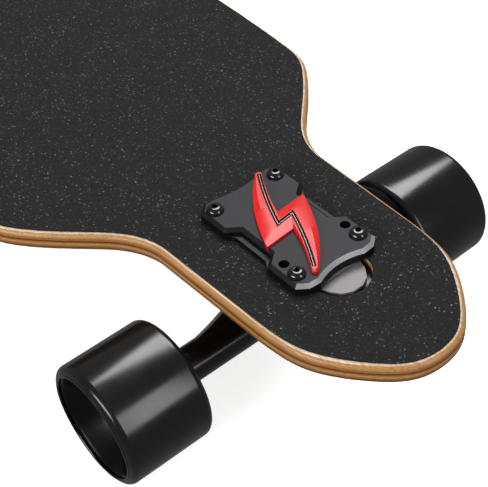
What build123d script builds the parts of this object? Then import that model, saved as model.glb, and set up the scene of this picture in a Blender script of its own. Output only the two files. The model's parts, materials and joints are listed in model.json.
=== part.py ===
from build123d import *
from math import cos, pi, sin, radians
import os

os.makedirs("parts", exist_ok=True)

# ---------------------------------------------------------------------------
# Electric longboard with drop-through trucks.  Millimetres, +Z up, +X towards
# the nose.  The origin is on the floor below the middle of the deck.
# ---------------------------------------------------------------------------

# Deck
deck_length = 974.0         # nose tip to tail tip
body_width = 236.0          # at the middle of the deck
neck_width = 110.0          # beside the trucks, where the wheels stand clear of the wood
shoulder_width = 226.0      # where the wheel cut-away ends and the body begins
deck_thickness = 11.5
deck_edge_round = 3.5
grip_thickness = 0.8
grip_margin = 2.4           # wood left bare along the edge
truck_inset = 111.0         # bolt-pattern centre from the tip of the deck
neck_run = 34.0             # straight neck from the bolt-pattern centre towards the middle
shoulder_run = 121.0        # bolt-pattern centre to the shoulder

# Truck mounting
bolt_pitch_x = 63.5
bolt_pitch_y = 41.3
spare_inset = 9.525         # second pair of holes, for the shorter bolt pattern
bolt_hole_r = 2.75
window_half_width = 16.8    # drop-through window in the deck
window_nose = 56.5          # bolt-pattern centre to the window's rounded nose end
window_heel = 33.0          # and to its squarer end, which the plate covers
foot_clearance = 0.6        # window wall to the foot of the cast boss
foot_drop = 5.0             # top of that foot below the deck's top
tongue_half_width = 14.2    # machined tongue that stands on the foot
tongue_drop = 0.8           # its face below the deck's top, past the plate
ledge_width = 1.0           # thin ledge and groove across the tongue beside the plate
ledge_groove = 0.7
boss_floor = 6.0            # boss below the deck's underside

# Cover plate
plate_thickness = 6.5
plate_step = 2.6            # lower layer, seen in the side scallops
plate_chamfer = 1.9
plate_nose = 42.6
plate_heel = 40.6
plate_half_width = 27.0
scallop_half_width = 20.0
step_half_width = 23.4
scallop_half_length = 11.5
scallop_slope = 5.5
lobe_half_width = 14.6
end_hollow = 3.2
inlay_height = 2.8
inlay_chamfer = 0.7
groove_width = 1.6          # zigzag line along the inlay
groove_depth = 0.8
inlay_sink = 1.5            # how deep the inlay sits in the plate's pocket

# Screws and nuts
screw_r = 2.5
screw_head_r = 4.8
screw_head_height = 2.9
socket_flats = 3.0
nut_flats = 8.0
nut_height = 5.0
screw_tail = 1.5
fixing_r = 2.0
fixing_head_r = 3.6
fixing_head_height = 2.0
fixing_depth = 9.0
fixing_x = 2.0              # places of the two screws, out from the pattern centre
fixing_y = 9.5

# Wheels
wheel_r = 35.0
wheel_width = 52.0
wheel_edge_round = 4.0
wheel_lip = 0.6
track = 205.0               # between the middles of the two wheels of a truck
axle_setback = 5.0          # axle from the bolt-pattern centre, towards the middle of the deck
axle_r = 4.0
axle_drop = 56.0            # deck top above the axle
core_r = 17.0
core_half_width = 12.0
core_offset = 6.0           # bearings nearer the hanger than the middle of the tyre
bearing_r = 11.0
bearing_width = 7.0
bearing_wall = 1.7
ball_r = 1.6
ball_count = 7
spacer_r = 5.6
washer_r = 5.9
washer_thickness = 0.6
running_gap = 0.05
axle_nut_flats = 13.0
axle_nut_height = 6.5
axle_tail = 1.5

# Truck
steer_angle = 45.0          # steering axis above the horizontal
rake = 9.0                  # axle below the steering axis
pivot_reach = 18.0          # axle line to the middle of the pivot ball
bushing_reach = 17.0        # axle line to the kingpin, along the steering axis
pivot_r = 5.5
pivot_gap = 0.3
cup_wall = 2.4
pivot_housing_wall = 3.1
kingpin_r = 5.0
kingpin_hole_r = 7.0        # hanger's eye, wide enough to tilt about the kingpin
kingpin_depth = 12.0
kingpin_nut_flats = 14.0
kingpin_nut_height = 7.5
bushing_r = 12.5
bushing_waist = 11.0
bushing_height = 14.0
seat_half = 4.0
seat_r = 14.0
seat_gap = 0.1
cup_washer_r = 13.0
cup_washer_thickness = 1.5
hanger_tube_r = 10.2
web_half = 5.5
web_chamfer = 2.0
web_start = 62.0            # where the web starts to rise from the tube
web_top = 13.0
web_hub = 13.0
baseplate_half_width = 11.5

# Electronics box under the deck
box_length = 440.0
box_width = 172.0
box_depth = 40.0
box_wall = 3.0
box_corner = 18.0
box_floor_round = 8.0
flange_width = 12.0
flange_thickness = 4.0
gasket_thickness = 1.6
box_screw_r = 2.0
box_screw_head_r = 3.8
box_screw_head_height = 2.4
box_screw_bite = 6.0
cell_r = 9.2
cell_length = 65.0
cell_gap = 0.6
cell_columns = 10
cell_rows = 2
board_thickness = 1.6
battery_x = 98.0            # middle of the battery
controller_x = -90.0        # middle of the motor controller
port_x = -150.0             # charge port and power button on the box's side
button_x = -105.0
controller_size = (110.0, 96.0, 20.0)
sink_size = (96.0, 80.0, 6.0)
sink_fins = 11
gland_r = 7.0
gland_bore_r = 3.4
gland_flange_r = 9.5
gland_length = 14.0
gland_spread = 46.0
port_r = 6.0
port_flange_r = 9.5
port_flange = 1.6
port_depth = 16.0
port_pin_r = 1.2
cap_thickness = 2.0
cap_gap = 0.2
hinge_r = 1.7
hinge_pin_r = 0.8
button_r = 6.0
button_gap = 0.25
button_travel = 1.2
button_proud = 1.6
button_flange_r = 7.6

# Hub motors in the rear wheels
tyre_seat_r = 28.0
can_wall = 2.4
can_half = 17.0
magnet_count = 14
magnet_thickness = 2.0
air_gap = 0.5
stator_teeth = 12
stator_half = 8.5
stator_hub_r = 8.0
coil_end = 1.0
motor_boss_r = 14.0

# ---------------------------------------------------------------------------
# Heights and places that follow from the sizes above
# ---------------------------------------------------------------------------
axle_z = wheel_r
deck_top = axle_z + axle_drop
deck_bottom = deck_top - deck_thickness
grip_top = deck_top + grip_thickness
plate_top = grip_top + plate_thickness
truck_x = deck_length / 2 - truck_inset
bolt_x = bolt_pitch_x / 2
bolt_y = bolt_pitch_y / 2
spare_x = bolt_x - spare_inset
wheel_y = track / 2

steer_rad = radians(steer_angle)
rake_rise = rake * cos(steer_rad)
steer_x = -axle_setback - rake * sin(steer_rad)
steer_z = axle_z + rake_rise
# Steering frame: x runs along the steering axis (up and towards the nose),
# z runs along the kingpin towards the deck, y across the board.
steer_plane = Plane(
    origin=(steer_x, 0, steer_z),
    x_dir=(cos(steer_rad), 0, sin(steer_rad)),
    z_dir=(-sin(steer_rad), 0, cos(steer_rad)),
)
seat_outer = seat_half + seat_gap + bushing_height
base_face = seat_outer + cup_washer_thickness

hanger_half_front = wheel_y - core_offset - core_half_width - washer_thickness - 2 * running_gap
hanger_half_rear = wheel_y - can_half - running_gap

box_top = deck_bottom - gasket_thickness
box_bottom = box_top - box_depth
side_y = -box_width / 2
side_z = box_bottom + box_depth * 0.45


def save(name, solids):
    """Write one sub-part, as one solid or as a group of separate solids."""
    items = solids if isinstance(solids, list) else [solids]
    flat = [s for item in items for s in item.solids()]
    shape = flat[0] if len(flat) == 1 else Compound(children=flat)
    export_step(shape, f"parts/{name}.step")


def outline_face(lines):
    """A plane face inside a closed run of lines and curves."""
    return make_face([edge for line in lines for edge in line.edges()])


def rod(radius, start, end, direction="Z"):
    """A cylinder between two stations along one axis."""
    length = end - start
    bar = Cylinder(radius, length, align=(Align.CENTER, Align.CENTER, Align.MIN))
    turn = {"X": Rot(0, 90, 0), "Y": Rot(-90, 0, 0), "Z": Rot(0, 0, 0)}[direction]
    shift = {"X": Pos(start, 0, 0), "Y": Pos(0, start, 0), "Z": Pos(0, 0, start)}[direction]
    return shift * turn * bar


def ring(outer, inner, start, end, direction="Z"):
    """A washer or sleeve between two stations along one axis."""
    return rod(outer, start, end, direction) - rod(inner, start - 1, end + 1, direction)


def hexagon(flats, start, end, direction="Z"):
    """A hexagonal prism between two stations along one axis."""
    prism = extrude(RegularPolygon(flats / 3**0.5, 6), end - start)
    turn = {"X": Rot(0, 90, 0), "Y": Rot(-90, 0, 0), "Z": Rot(0, 0, 0)}[direction]
    shift = {"X": Pos(start, 0, 0), "Y": Pos(0, start, 0), "Z": Pos(0, 0, start)}[direction]
    return shift * turn * prism


def turned(points):
    """Revolve a closed (radius, station) outline about the Y axis."""
    outline = Polyline(*[(r, s, 0) for r, s in points], close=True)
    return revolve(make_face(outline), Axis.Y)


def on_truck(shape, end):
    """Place a shape made about the bolt-pattern centre at one end of the board."""
    return Pos(end * truck_x, 0, 0) * (Rot(0, 0, 0 if end > 0 else 180) * shape)


def bolt_places():
    """The four deck screws of one truck."""
    return [Pos(sx * bolt_x, sy * bolt_y, 0) for sx in (1, -1) for sy in (1, -1)]


def spare_places():
    """The two open holes of one truck's shorter pattern."""
    return [Pos(spare_x, sy * bolt_y, 0) for sy in (1, -1)]


# ---------------------------------------------------------------------------
# Deck and grip tape
# ---------------------------------------------------------------------------
def deck_outline(inset=0.0):
    """Plan of the deck: rounded ends, narrow necks and a wide body."""
    tip = deck_length / 2 - inset
    half_neck = neck_width / 2 - inset
    half_shoulder = shoulder_width / 2 - inset
    neck_nose = truck_x + 0.37 * truck_inset
    neck_heel = truck_x - neck_run - 0.4 * inset
    shoulder = truck_x - shoulder_run - 0.4 * inset
    nose = Spline(
        (tip, 0),
        (tip - 0.12 * truck_inset, 0.52 * half_neck),
        (tip - 0.32 * truck_inset, 0.83 * half_neck),
        (neck_nose, 0.975 * half_neck),
        tangents=[(0, 1), (-1, 0.06)],
    )
    neck = Line((neck_nose, 0.975 * half_neck), (neck_heel, 1.02 * half_neck))
    flare_span = neck_heel - shoulder
    flare_rise = half_shoulder - half_neck
    flare = Spline(
        (neck_heel, 1.02 * half_neck),
        (neck_heel - 0.44 * flare_span, half_neck + 0.435 * flare_rise),
        (neck_heel - 0.757 * flare_span, half_neck + 0.86 * flare_rise),
        (shoulder, half_shoulder),
        tangents=[(-1, 0.14), (-1, 0.10)],
    )
    side = Spline((shoulder, half_shoulder), (0, body_width / 2 - inset), tangents=[(-1, 0.10), (-1, 0)])
    quarter = [nose, neck, flare, side]
    half = quarter + [mirror(edge, Plane.YZ) for edge in quarter]
    full = half + [mirror(edge, Plane.XZ) for edge in half]
    return outline_face(full)


def window(shrink=0.0):
    """Plan of the drop-through window about one bolt-pattern centre."""
    r = window_half_width - shrink
    heel = window_heel - shrink
    nose_centre = window_nose - window_half_width
    heel_r = r * 0.5
    body = Pos((nose_centre - heel) / 2, 0) * Rectangle(nose_centre + heel, 2 * r)
    heel_corners = body.vertices().group_by(Axis.X)[0]
    return fillet(heel_corners, heel_r) + Pos(nose_centre, 0) * Circle(r)


def deck_holes(bottom, top, hole_r):
    """All through holes and windows of the deck, both ends."""
    tools = []
    for end in (1, -1):
        cut = Pos(0, 0, bottom) * extrude(window(), top - bottom)
        tools.append(on_truck(cut, end))
        for place in bolt_places() + spare_places():
            tools.append(on_truck(place * rod(hole_r, bottom, top), end))
    return tools


def make_deck():
    board = Pos(0, 0, deck_bottom) * extrude(deck_outline(), deck_thickness)
    rims = board.edges().group_by(Axis.Z)
    board = fillet(rims[0] + rims[-1], deck_edge_round)
    board -= deck_holes(deck_bottom - 1, deck_top + 1, bolt_hole_r)
    for place in box_screw_places():
        board -= place * rod(box_screw_r, deck_bottom - 1, deck_bottom + box_screw_bite)
    return board


def make_grip():
    sheet = Pos(0, 0, deck_top) * extrude(deck_outline(grip_margin), grip_thickness)
    return sheet - deck_holes(deck_top - 1, grip_top + 1, bolt_hole_r)


# ---------------------------------------------------------------------------
# Cover plate with its raised inlay
# ---------------------------------------------------------------------------
def plate_outline(waist, grow=0.0):
    """Plan of the cover plate: four lobes, hollow ends and two side scallops."""
    half = plate_half_width + grow
    nose = plate_nose + grow
    heel = plate_heel + grow
    cut = half - 21.5
    run = scallop_half_length
    slope = run + scallop_slope
    upper = [
        (nose, lobe_half_width),
        (nose - 0.6, half - cut),
        (nose - 0.6 - 0.8 * cut, half),
        (slope, half),
        (run, waist),
        (-run, waist),
        (-slope, half),
        (-heel + 0.8 * cut, half),
        (-heel, half - cut),
        (-heel, lobe_half_width),
    ]
    lower = [(x, -y) for x, y in reversed(upper)]
    heel_arc = ThreePointArc(upper[-1], (-heel + end_hollow * 0.7, 0), lower[0])
    nose_arc = ThreePointArc(lower[-1], (nose - end_hollow, 0), upper[0])
    return outline_face([Polyline(*upper), heel_arc, Polyline(*lower), nose_arc])


def inlay_outline():
    """Plan of the inlay: two curved blades that meet in a zigzag."""
    tip = (-38.6, 14.2)
    blade_mid = (-17.4, -6.4)
    corner = (8.8, -19.8)
    notch = (7.4, -1.3)
    inner_mid = (22.0, -7.0)

    def turn(point):
        return (-point[0], -point[1])

    first = [
        ThreePointArc(tip, blade_mid, corner),
        Line(corner, notch),
        ThreePointArc(notch, inner_mid, turn(tip)),
    ]
    second = [
        ThreePointArc(turn(tip), turn(blade_mid), turn(corner)),
        Line(turn(corner), turn(notch)),
        ThreePointArc(turn(notch), turn(inner_mid), tip),
    ]
    face = outline_face(first + second)
    tips = face.vertices().sort_by(Axis.X)
    return fillet([tips[0], tips[-1]], 1.3)


def make_inlay():
    """Two-bladed inlay, chamfered on top, with a zigzag groove along its middle."""
    floor = plate_top - inlay_sink
    body = Pos(0, 0, floor) * extrude(inlay_outline(), inlay_sink + inlay_height)
    body = chamfer(body.edges().group_by(Axis.Z)[-1], inlay_chamfer)
    half_path = [(-36.0, 12.9), (-18.5, 3.2), (0.7, -5.4)]
    path = half_path + [(-x, -y) for x, y in reversed(half_path)]
    groove_floor = plate_top + inlay_height - groove_depth
    return body - Pos(0, 0, groove_floor) * extrude(trace(Polyline(*path), groove_width), groove_depth + 1)


def make_plate():
    lower = Pos(0, 0, grip_top) * extrude(plate_outline(step_half_width), plate_step)
    upper_height = plate_thickness - plate_step
    upper = Pos(0, 0, grip_top + plate_step) * extrude(plate_outline(scallop_half_width), upper_height)
    upper = chamfer(upper.edges().group_by(Axis.Z)[-1], plate_chamfer)
    plate = lower + upper
    pocket = Pos(0, 0, plate_top - inlay_sink) * extrude(inlay_outline(), inlay_sink + 1)
    plate -= pocket
    for place in bolt_places() + spare_places():
        plate -= place * rod(bolt_hole_r, grip_top - 1, plate_top + 1)
    for place in fixing_places():
        plate -= place * rod(fixing_r, grip_top - 1, plate_top + 1)
        plate -= place * rod(fixing_head_r, plate_top - inlay_sink - fixing_head_height, plate_top)
    return plate


def fixing_places():
    """The two screws under the inlay that hold the cast boss to the plate."""
    return [Pos(-fixing_x, -fixing_y, 0), Pos(fixing_x, fixing_y, 0)]


def make_fixing():
    head_top = plate_top - inlay_sink
    head = rod(fixing_head_r, head_top - fixing_head_height, head_top)
    head -= hexagon(2.5, head_top - 1.2, head_top + 1)
    return head + rod(fixing_r, grip_top - fixing_depth, head_top - fixing_head_height)


def make_deck_screw():
    """Button-head screw: domed head with a hexagon socket, and its shank."""
    head_arc = ThreePointArc(
        (screw_head_r, 0, 0.5), (screw_head_r * 0.74, 0, screw_head_height * 0.74), (2.2, 0, screw_head_height)
    )
    lines = Polyline((2.2, 0, screw_head_height), (0, 0, screw_head_height), (0, 0, 0), (screw_head_r, 0, 0),
                     (screw_head_r, 0, 0.5))
    head = revolve(outline_face([head_arc, lines]), Axis.Z)
    head -= hexagon(socket_flats, screw_head_height - 1.8, screw_head_height + 1)
    tail = deck_bottom - nut_height - screw_tail
    return Pos(0, 0, plate_top) * head + rod(screw_r, tail, plate_top)


def make_lock_nut():
    collar_height = nut_height * 0.3
    body = hexagon(nut_flats, deck_bottom - nut_height + collar_height, deck_bottom)
    collar = rod(nut_flats * 0.46, deck_bottom - nut_height, deck_bottom - nut_height + collar_height)
    return body + collar - rod(screw_r, deck_bottom - nut_height - 1, deck_bottom + 1)


# ---------------------------------------------------------------------------
# Baseplate, kingpin and bushings
# ---------------------------------------------------------------------------
def steer_point(along, up):
    """A point of the steering frame, as x and z about the bolt-pattern centre."""
    point = steer_plane.from_local_coords(Vector(along, 0, up))
    return (point.X, point.Z)


cup_r = pivot_r + pivot_gap + cup_wall
housing_r = cup_r + pivot_housing_wall
cup_mouth = -pivot_reach + 5.5
cup_end = -pivot_reach - pivot_r - pivot_gap - cup_wall


def tongue_outline():
    """Plan of the machined tongue: straight flanks that taper to a blunt nose."""
    half = tongue_half_width
    heel = -window_heel + window_half_width * 0.5
    upper = [(heel, half), (39.5, half), (45.5, 0.86 * half), (50.6, 0.6 * half), (53.3, 0.23 * half)]
    lower = [(x, -y) for x, y in reversed(upper)]
    return outline_face([Polyline(*upper, *lower, close=True)])


def make_boss():
    """The casting inside the window: a snug foot and a tongue that shows past the plate."""
    low = deck_bottom - boss_floor
    foot_top = deck_top - foot_drop
    face = deck_top - tongue_drop
    foot = Pos(0, 0, low) * extrude(window(foot_clearance), foot_top - low)
    tongue = Pos(0, 0, foot_top) * extrude(tongue_outline(), grip_top - foot_top)
    shelf_x = plate_nose - end_hollow - 0.6
    front_room = Box(60, 40, 20, align=(Align.MIN, Align.CENTER, Align.MIN))
    tongue -= Pos(shelf_x, 0, deck_top - tongue_drop / 2) * front_room
    tongue -= Pos(shelf_x + ledge_width, 0, face) * front_room
    slit = Box(ledge_groove, 40, 20, align=(Align.MIN, Align.CENTER, Align.MIN))
    tongue -= Pos(shelf_x + ledge_width, 0, face - ledge_groove) * slit
    return foot + tongue


def make_baseplate():
    """Cast boss in the window, kingpin block and pivot arm, in one piece."""
    boss = make_boss()

    face_top = steer_point(seat_r + bushing_reach, base_face)
    face_low = steer_point(bushing_reach - seat_r, base_face)
    arm_front = steer_point(cup_mouth, housing_r * 0.9)
    arm_back = steer_point(cup_end - pivot_housing_wall, housing_r * 0.9)
    back_x = -window_heel - 8
    profile = Polyline(
        (back_x, 0, deck_bottom), (back_x, 0, arm_back[1] + 16), (arm_back[0], 0, arm_back[1]),
        (arm_front[0], 0, arm_front[1]), (face_low[0], 0, face_low[1]), (face_top[0], 0, face_top[1]),
        (face_top[0] + 2, 0, deck_bottom - 0.01), close=True,
    )
    web = extrude(make_face(profile), baseplate_half_width, both=True)
    web = fillet(web.edges().filter_by(Axis.Z), 3)
    housing = steer_plane * rod(housing_r, cup_end - pivot_housing_wall, cup_mouth, "X")
    kingpin_pad = steer_plane * (Pos(bushing_reach, 0, 0) * rod(cup_washer_r + 1, base_face, base_face + 9))
    body = boss + web + housing + (kingpin_pad & Pos(0, 0, deck_bottom - 30) * Box(120, 60, 60))
    # Room for the bushings and their washers below the kingpin's seat
    body -= on_kingpin(rod(cup_washer_r + 2, -base_face, base_face))
    body -= steer_plane * rod(cup_r, cup_end, cup_mouth + 1, "X")
    # Room for the pivot nose, and for the hanger's middle as it turns
    body -= steer_plane * rod(housing_r + 1.5, cup_mouth, cup_mouth + 34, "X")
    sweep_r = (web_hub**2 + web_top**2) ** 0.5 + 1.0
    body -= steer_plane * rod(sweep_r, -web_half - 1.5, seat_r + bushing_reach + 3, "X")
    body -= steer_plane * (Pos(bushing_reach, 0, 0) * rod(kingpin_r, base_face - 1, base_face + kingpin_depth))
    for place in fixing_places():
        body -= place * rod(fixing_r, grip_top - fixing_depth, grip_top + 1)
    return body


def make_pivot_cup():
    cup = rod(cup_r, cup_end, cup_mouth, "X")
    hollow_r = pivot_r + pivot_gap
    cup -= Pos(-pivot_reach, 0, 0) * Sphere(hollow_r)
    cup -= rod(hollow_r, -pivot_reach, cup_mouth + 1, "X")
    return steer_plane * cup


def on_kingpin(shape):
    """Place a shape made about the Z axis on the kingpin."""
    return steer_plane * (Pos(bushing_reach, 0, 0) * shape)


def make_kingpin():
    low = -base_face - kingpin_nut_height - 1.5
    return on_kingpin(rod(kingpin_r, low, base_face + kingpin_depth))


def make_kingpin_nut():
    top = -base_face
    nut = hexagon(kingpin_nut_flats, top - kingpin_nut_height * 0.75, top)
    collar = rod(kingpin_nut_flats * 0.45, top - kingpin_nut_height, top - kingpin_nut_height * 0.75)
    return on_kingpin(nut + collar - rod(kingpin_r, top - kingpin_nut_height - 1, top + 1))


def make_cup_washer(side):
    """Dished washer behind a bushing; side is +1 by the deck, -1 by the road."""
    low, high = sorted((side * seat_outer, side * base_face))
    return on_kingpin(ring(cup_washer_r, kingpin_r, low, high))


def make_bushing(side):
    """Waisted urethane bushing; side is +1 by the deck, -1 by the road."""
    start = seat_half + seat_gap
    middle = start + bushing_height / 2
    arc = ThreePointArc((bushing_r, 0, start), (bushing_waist, 0, middle), (bushing_r, 0, seat_outer))
    sides = Polyline((bushing_r, 0, seat_outer), (kingpin_r, 0, seat_outer), (kingpin_r, 0, start),
                     (bushing_r, 0, start))
    body = revolve(outline_face([arc, sides]), Axis.Z)
    return on_kingpin(body if side > 0 else mirror(body, Plane.XY))


# ---------------------------------------------------------------------------
# Hanger, axle and wheels
# ---------------------------------------------------------------------------
def make_hanger(half):
    """Tube along the axle, flared web, bushing seat and pivot nose."""
    tube = Pos(0, 0, -rake) * rod(hanger_tube_r, -half, half, "Y")
    start = min(web_start, half - 12)
    web_low = -rake
    tube_top = -rake + hanger_tube_r * 0.85
    right = ThreePointArc(
        (0, start, tube_top), (0, (start + web_hub) / 2, tube_top + 0.36 * (web_top - tube_top)),
        (0, web_hub, web_top),
    )
    left = mirror(right, Plane.XZ)
    rest = [
        Line((0, web_hub, web_top), (0, -web_hub, web_top)),
        Line((0, -start, tube_top), (0, -start, web_low)),
        Line((0, -start, web_low), (0, start, web_low)),
        Line((0, start, web_low), (0, start, tube_top)),
    ]
    web = extrude(outline_face([right, left, *rest]), web_half, both=True)
    faces = web.faces().sort_by(Axis.X)
    upper = [e for f in (faces[0], faces[-1]) for e in f.edges() if e.center().Z > tube_top + 0.5]
    web = chamfer(upper, web_chamfer)
    seat = Pos(bushing_reach, 0, 0) * rod(seat_r, -seat_half, seat_half)
    yoke = Box(bushing_reach, 2 * (seat_r - 2), 2 * seat_half, align=(Align.MIN, Align.CENTER, Align.CENTER))
    hub = rod(11, -8, 7.5, "X")
    nose = rod(pivot_r, -pivot_reach, -6, "X") + Pos(-pivot_reach, 0, 0) * Sphere(pivot_r)
    body = tube + web + seat + yoke + hub + nose
    body -= Pos(bushing_reach, 0, 0) * rod(kingpin_hole_r, -20, 20)
    body -= Pos(bushing_reach, 0, 0) * rod(seat_r + 1, seat_half, 20)
    body -= Pos(bushing_reach, 0, 0) * rod(seat_r + 1, -20, -seat_half)
    # The roadside washer tilts against the hanger, so it has more room
    body -= Pos(bushing_reach, 0, 0) * rod(seat_r + 5, -22, -seat_outer + 5)
    body -= Pos(0, 0, -rake) * rod(axle_r, -half - 1, half + 1, "Y")
    return steer_plane * body


def on_axle(shape, side):
    """Place a shape made about the Y axis, outboard +Y, on one end of the axle."""
    turned_shape = shape if side > 0 else Rot(0, 0, 180) * shape
    return Pos(-axle_setback, side * wheel_y, axle_z) * turned_shape


def tyre_face(inner_r, depth):
    """Outboard half of the tyre's outline, from the tread to the bore."""
    half = wheel_width / 2
    lip_outer = 0.925 * wheel_r
    lip_inner = 0.875 * wheel_r
    dish = 0.845 * wheel_r
    return [
        (lip_outer, half - wheel_lip), (lip_outer - 0.5, half), (lip_inner, half), (lip_inner - 0.3, half - wheel_lip),
        (dish, half - wheel_lip - 0.3), (dish - 1.6, half - 3.2), (dish - 4.6, half - 0.62 * depth),
        (0.5 * (dish + inner_r), half - 0.86 * depth), (inner_r, half - depth),
    ]


def make_tyre(inner_r, outer_depth, inner_depth, inner_mouth_r):
    """Urethane tyre with rounded edges, a lip and a dished outboard face."""
    half = wheel_width / 2
    outer = tyre_face(inner_r, outer_depth)
    inner = [
        (inner_r, -half + inner_depth), (inner_mouth_r - 3, -half + 0.55 * inner_depth), (inner_mouth_r, -half),
        (0.925 * wheel_r, -half),
    ]
    edge = wheel_edge_round
    rounded = []
    steps = 6
    for k in range(steps + 1):
        t = pi / 2 * k / steps
        rounded.append((wheel_r - edge + edge * sin(t), -half + edge - edge * cos(t)))
    far = half - wheel_lip
    shoulder = [(r, -s - (half - far)) for r, s in reversed(rounded)]
    return turned([*outer, *inner, *rounded[1:], *shoulder[:-1]])


def make_core():
    """Plastic hub core with a bearing seat in each side."""
    low = -core_offset - core_half_width
    high = -core_offset + core_half_width
    body = ring(core_r, bearing_r - 1.6, low, high, "Y")
    for start, end in ((low - 1, low + bearing_width), (high - bearing_width, high + 1)):
        body -= rod(bearing_r, start, end, "Y")
    return body


def make_bearing(start):
    """Ball bearing: two rings, two shields and its balls."""
    end = start + bearing_width
    inner_r = axle_r + running_gap
    inner_ring = ring(inner_r + bearing_wall, inner_r, start, end, "Y")
    outer_ring = ring(bearing_r, bearing_r - bearing_wall, start, end, "Y")
    low_r = inner_r + bearing_wall
    high_r = bearing_r - bearing_wall
    pitch_r = (low_r + high_r) / 2
    balls = []
    for k in range(ball_count):
        angle = 2 * pi * k / ball_count
        balls.append(Pos(pitch_r * cos(angle), (start + end) / 2, pitch_r * sin(angle)) * Sphere(ball_r))
    shields = [ring(high_r, low_r + 0.1, start + 0.2, start + 0.6, "Y"),
               ring(high_r, low_r + 0.1, end - 0.6, end - 0.2, "Y")]
    return [inner_ring, outer_ring, *shields, *balls]


front_low = -core_offset - core_half_width
front_high = -core_offset + core_half_width


def front_nut_start():
    return front_high + 2 * running_gap + washer_thickness


def make_axle(nut_start):
    reach = wheel_y + nut_start + axle_nut_height + axle_tail
    bar = rod(axle_r, -reach, reach, "Y")
    ends = bar.edges().filter_by(GeomType.CIRCLE)
    return Pos(-axle_setback, 0, axle_z) * chamfer(ends, 0.8)


def make_axle_nut(start):
    split = start + axle_nut_height * 0.72
    body = hexagon(axle_nut_flats, start, split, "Y")
    collar = rod(axle_nut_flats * 0.44, split, start + axle_nut_height, "Y")
    return body + collar - rod(axle_r, start - 1, start + axle_nut_height + 1, "Y")


def make_speed_washers(low, high):
    """Thin washers each side of a wheel."""
    inner = ring(washer_r, axle_r, low - running_gap - washer_thickness, low - running_gap, "Y")
    outer = ring(washer_r, axle_r, high + running_gap, high + running_gap + washer_thickness, "Y")
    return [inner, outer]


# ---------------------------------------------------------------------------
# Hub motor
# ---------------------------------------------------------------------------
motor_bearing_low = -can_half
motor_bearing_high = can_half - bearing_width
magnet_outer_r = tyre_seat_r - can_wall
magnet_inner_r = magnet_outer_r - magnet_thickness
stator_r = magnet_inner_r - air_gap


def make_rotor_can():
    can = ring(tyre_seat_r, magnet_outer_r, -can_half, can_half - 4, "Y")
    wall = ring(magnet_outer_r, bearing_r, -can_half, -can_half + 3, "Y")
    boss = ring(motor_boss_r, bearing_r, -can_half, -can_half + bearing_width, "Y")
    return can + wall + boss


def make_end_cover():
    """Outboard motor cover with shallow ribs, seated on the can."""
    disc = ring(tyre_seat_r, bearing_r, can_half - 4, can_half, "Y")
    boss = ring(motor_boss_r, bearing_r, motor_bearing_high, can_half, "Y")
    cover = disc + boss
    for k in range(12):
        spoke = Rot(0, 30 * k, 0) * (Pos(20.5, can_half - 0.5, 0) * Box(9, 1.2, 3.0))
        cover -= spoke
    return cover


def make_magnets():
    magnets = []
    band = ring(magnet_outer_r, magnet_inner_r, -stator_half - 1, stator_half + 1, "Y")
    span = 360 / magnet_count
    chord = 2 * magnet_outer_r * sin(radians(span / 2)) * 0.86
    for k in range(magnet_count):
        block = Rot(0, span * k, 0) * (Pos(magnet_outer_r, 0, 0) * Box(12, 80, chord))
        magnets.append(band & block)
    return magnets


def make_stator():
    core = ring(stator_hub_r + 4, axle_r, -stator_half, stator_half, "Y")
    shoe = ring(stator_r, stator_r - 1.8, -stator_half, stator_half, "Y")
    for k in range(stator_teeth):
        angle = 360 / stator_teeth * k
        tooth = Pos((stator_hub_r + stator_r) / 2 + 1, 0, 0) * Box(stator_r - stator_hub_r - 3.4, 2 * stator_half, 3)
        core += Rot(0, angle, 0) * tooth
        gap = Pos(stator_r, 0, 0) * Box(8, 80, 2.4)
        shoe -= Rot(0, angle + 180 / stator_teeth, 0) * gap
    return core + shoe


def make_windings():
    """Copper coils, one about each stator tooth."""
    coils = []
    inner = stator_hub_r + 5.6
    outer = stator_r - 2.6
    for k in range(stator_teeth):
        middle = (inner + outer) / 2
        block = Pos(middle, 0, 0) * Box(outer - inner, 2 * (stator_half + coil_end), 5.2)
        slot = Pos(middle, 0, 0) * Box(outer - inner + 2, 2 * stator_half + 0.2, 3.2)
        coils.append(Rot(0, 360 / stator_teeth * k, 0) * (block - slot))
    return coils


def motor_nut_start():
    return can_half + running_gap


# ---------------------------------------------------------------------------
# Electronics box
# ---------------------------------------------------------------------------
def rounded_box(length, width, corner, low, high):
    """Upright rounded block centred on the board."""
    return Pos(0, 0, low) * extrude(RectangleRounded(length, width, corner), high - low)


def box_screw_places():
    """Screws around the box's flange."""
    x_edge = box_length / 2 + flange_width / 2
    y_edge = box_width / 2 + flange_width / 2
    long_side = [(x, s * y_edge) for x in (-165, -55, 55, 165) for s in (1, -1)]
    short_side = [(s * x_edge, y) for y in (-45, 45) for s in (1, -1)]
    return [Pos(x, y, 0) for x, y in long_side + short_side]


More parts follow.
